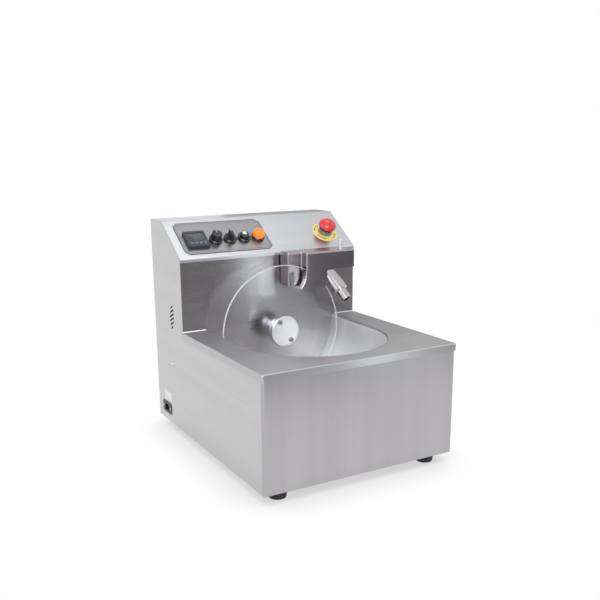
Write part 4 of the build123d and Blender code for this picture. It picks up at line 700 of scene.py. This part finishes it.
def pan_screw(bm, place, radius, height, shank, length, scale=1.0):
    """Low pan head with a cross recess, on a plain shank."""
    recess = [(x * scale, y * scale) for x, y in cross]
    rise = [(radius - 0.55 + 0.55 * math.cos(a), height * 0.45 + height * 0.4 * math.sin(a)) for a in (math.pi / 10 * k for k in range(6))]
    rings = lathe(bm, place, [(shank, -length), (shank, 0), (radius, 0)] + rise + [(radius * 0.72, height * 0.97), (radius * 0.66, height)], steps=40)
    top = [bm.verts.new(place @ Vector((x, y, height)) * MM) for x, y in recess]
    bottom = [bm.verts.new(place @ Vector((x * 0.8, y * 0.8, height * 0.35)) * MM) for x, y in recess]
    ring_fill(bm, rings[-1], top)
    for i in range(len(top)):
        j = (i + 1) % len(top)
        bm.faces.new((top[i], top[j], bottom[j], bottom[i]))
    bm.faces.new(bottom)


cross = [(0.45, 0.45), (0.45, 2.2), (-0.45, 2.2), (-0.45, 0.45), (-2.2, 0.45), (-2.2, -0.45)]
cross += [(-x, -y) for x, y in cross]
bm = bmesh.new()
for x in (-205.5, 205.5):
    for i, z in enumerate((52, 180.77, 309.53, 438.3)):
        pan_screw(bm, rear_side @ Matrix.Translation((-x, z, 0)) @ Matrix.Rotation(0.5 + i + x, 4, "Z"), 3.8, 1.8, 2.0, 1.5, 0.95)
for side in (left_side @ Matrix.Translation((-167, 163, 0)), right_side @ Matrix.Translation((167, 163, 0))):
    pan_screw(bm, side @ Matrix.Rotation(0.4, 4, "Z"), 3.8, 1.8, 2.0, 8.0, 0.95)
for y in (INLET_Y - 20, INLET_Y + 20):
    pan_screw(bm, left_side @ Matrix.Translation((-y, INLET_Z, 1.2)) @ Matrix.Rotation(y, 4, "Z"), 2.7, 0.7, 1.2, 1.2, 0.7)
piece("Casing_Screws", bm, "machine", mat["screw_steel"], ["casing_screws"])

# %% Lift pin
bm = bmesh.new()
pin_profile = [(0, 402.02), (4, 402.02), (4, 404.4), (3.6, 404.8), (3.6, 405.6), (4, 406)]
pin_profile += [(3.0 + math.cos(a), 423 + math.sin(a)) for a in (math.pi / 12 * k for k in range(7))] + [(0, 424)]
lathe(bm, Matrix.Translation((146, 48.5, 0)), pin_profile, steps=48)
piece("Lift_Pin", bm, "scraper", mat[slots["lift_pin"]], ["lift_pin"])

# %% Bare rating plate beside the inlet, and the marks of the controls
bm = bmesh.new()
prism(bm, left_side, oval(-207, 80, 44, 20, 1.5), 0.02, 0.22, bevel=0.1, segments=2)
piece("Rating_Plate", bm, "machine", mat["label_white"])


def strip_loop(bm, place, outline, width, low, high):
    """Raised line along a closed outline, inside it."""
    center = sum((Vector(p) for p in outline), Vector((0, 0))) / len(outline)
    rows = []
    for inset, level in ((0, low), (0, high), (width, high), (width, low)):
        row = []
        for i, point in enumerate(outline):
            here = Vector(point)
            along = (Vector(outline[(i + 1) % len(outline)]) - Vector(outline[i - 1])).normalized()
            inward = Vector((-along.y, along.x))
            if inward.dot(center - here) < 0:
                inward = -inward
            spot = here + inward * inset
            row.append(bm.verts.new(place @ Vector((spot.x, spot.y, level)) * MM))
        rows.append(row)
    for a, b in zip(rows, rows[1:]):
        for i in range(len(outline)):
            j = (i + 1) % len(outline)
            bm.faces.new((a[i], a[j], b[j], b[i]))


overlay_corner = 10.0
overlay = [(-195, 22), (-185, 12), (1, 12), (11, 22), (11, 102), (1, 112), (-185, 112), (-195, 102)]
overlay_inner = [(x * 1.0, y * 1.0) for x, y in soften([(-191, 24.5), (-183.5, 17), (-0.5, 17), (7, 24.5), (7, 99.5), (-0.5, 107), (-183.5, 107), (-191, 99.5)], 2.0, steps=4)]
bm = bmesh.new()
strip_loop(bm, slope, soften(overlay, 1.5, steps=4), 1.5, 0.79, 0.86)
strip_loop(bm, slope, overlay_inner, 0.7, 0.79, 0.85)
for k in range(11):
    a = math.radians(225 - 27 * k)
    mark = on_slope(-114.6, 51) @ Matrix.Rotation(a, 4, "Z")
    prism(bm, mark, [(16.4, -0.35), (18.6 + (0.8 if k % 5 == 0 else 0), -0.35), (18.6 + (0.8 if k % 5 == 0 else 0), 0.35), (16.4, 0.35)], 0.79, 0.86)
for x, angle in ((-80.8, 135), (-80.8, 45)):
    mark = on_slope(x, 51) @ Matrix.Rotation(math.radians(angle), 4, "Z")
    prism(bm, mark, [(16.4, -0.5), (19.4, -0.5), (19.4, 0.5), (16.4, 0.5)], 0.79, 0.86)
piece("Panel_Marks", bm, "machine", mat["mark_dark"])

bm = bmesh.new()
for k in range(4):
    place = on_slope(160, 51) @ Matrix.Rotation(math.radians(45 + 90 * k), 4, "Z")
    arc = [(25.6 * math.cos(a), 25.6 * math.sin(a)) for a in (math.radians(-24 + 6 * i) for i in range(8))]
    inner = [(24.2 * math.cos(a), 24.2 * math.sin(a)) for a in (math.radians(-24 + 6 * i) for i in range(8))]
    prism(bm, place, arc + list(reversed(inner)), 1.5, 1.56)
    tip = math.radians(18)
    head = [(22.2 * math.cos(tip), 22.2 * math.sin(tip)), (27.6 * math.cos(tip), 27.6 * math.sin(tip)), (24.9 * math.cos(tip + 0.17), 24.9 * math.sin(tip + 0.17))]
    prism(bm, place, head, 1.5, 1.56)
piece("Stop_Marks", bm, "machine", mat["mark_dark"])

bm = bmesh.new()
prism(bm, on_slope(-114.6, 51), [(-0.6, 1.8), (0.6, 1.8), (0.6, 8.8), (-0.6, 8.8)], 20.98, 21.06)
piece("Speed_Mark", bm, "speed_knob", mat["mark_white"])
bm = bmesh.new()
prism(bm, on_slope(-80.8, 51), [(-0.5, 3.0), (0.5, 3.0), (0.5, 10.4), (-0.5, 10.4)], 21.98, 22.04)
piece("Selector_Mark", bm, "selector", mat["mark_white"])

# %% Sealing bead between the deck and the wall, beside the tank
bm = bmesh.new()
along_wall = frame_of((0, -1, 0), (0, 0, 1), (-1, 0, 0), (0, 0, 0))
bead = [(-98.48, 247.02), (-97.1, 247.02), (-97.35, 247.35), (-97.8, 247.7), (-98.15, 248.1), (-98.48, 248.5)]
for low, high in ((160.5, 212.8), (-212.8, -160.5)):
    prism(bm, along_wall, bead, low, high)
piece("Wall_Bead", bm, "machine", mat["screw_steel"])

# %% Display with resting segments, and the keys
def segments(width, height, thick):
    """Seven strokes of a digit, slanted a little."""
    w, h, t = width / 2, height / 2, thick / 2
    bars = [(0, h, 0), (0, 0, 0), (0, -h, 0), (-w, h / 2, 1), (w, h / 2, 1), (-w, -h / 2, 1), (w, -h / 2, 1)]
    strokes = []
    for x, y, standing in bars:
        half = (h / 2 if standing else w) - t * 1.2
        shape = [(-half, 0), (-half + t, -t), (half - t, -t), (half, 0), (half - t, t), (-half + t, t)]
        if standing:
            shape = [(b, a) for a, b in shape]
        strokes.append([(x + a + 0.12 * (y + b), y + b) for a, b in shape])
    return strokes


display_spot = on_slope(-159, 53 + 7.5, 7.8)
bm = bmesh.new()
prism(bm, display_spot, oval(0, 0, 36.9, 18.9, 0.4), -1.0, 0.0, bevel=0.15, segments=2)
piece("Display_Glass", bm, "machine", mat["display_glass"], ["controller_display"])
bm = bmesh.new()
for row, (high, wide, y, number) in enumerate(((7.2, 4.0, 3.6, 4), (4.6, 2.6, -5.2, 4))):
    for k in range(number):
        for stroke in segments(wide, high, 0.9 if row == 0 else 0.6):
            prism(bm, display_spot, [(x + (k - 1.5) * (wide + 2.6), y0 + y) for x, y0 in stroke], 0.0, 0.03)
piece("Display_Segments", bm, "machine", mat["segment_grey"])
for number, (name, x) in enumerate((("set", -15), ("shift", -5), ("down", 5), ("up", 15))):
    bm = bmesh.new()
    prism(bm, on_slope(-159 + x, 53 - 15), oval(0, 0, 6.3, 4.1, 0.9, steps=4), 6.62, 9.68, bevel=0.5, segments=3)
    piece("Key_" + name.capitalize(), bm, "key_" + name, mat["key_plastic"], ["controller_key_" + name])

# %% Even out the shading and finish
for obj in made:
    even_normals(obj)
print("pieces made:", len(made))
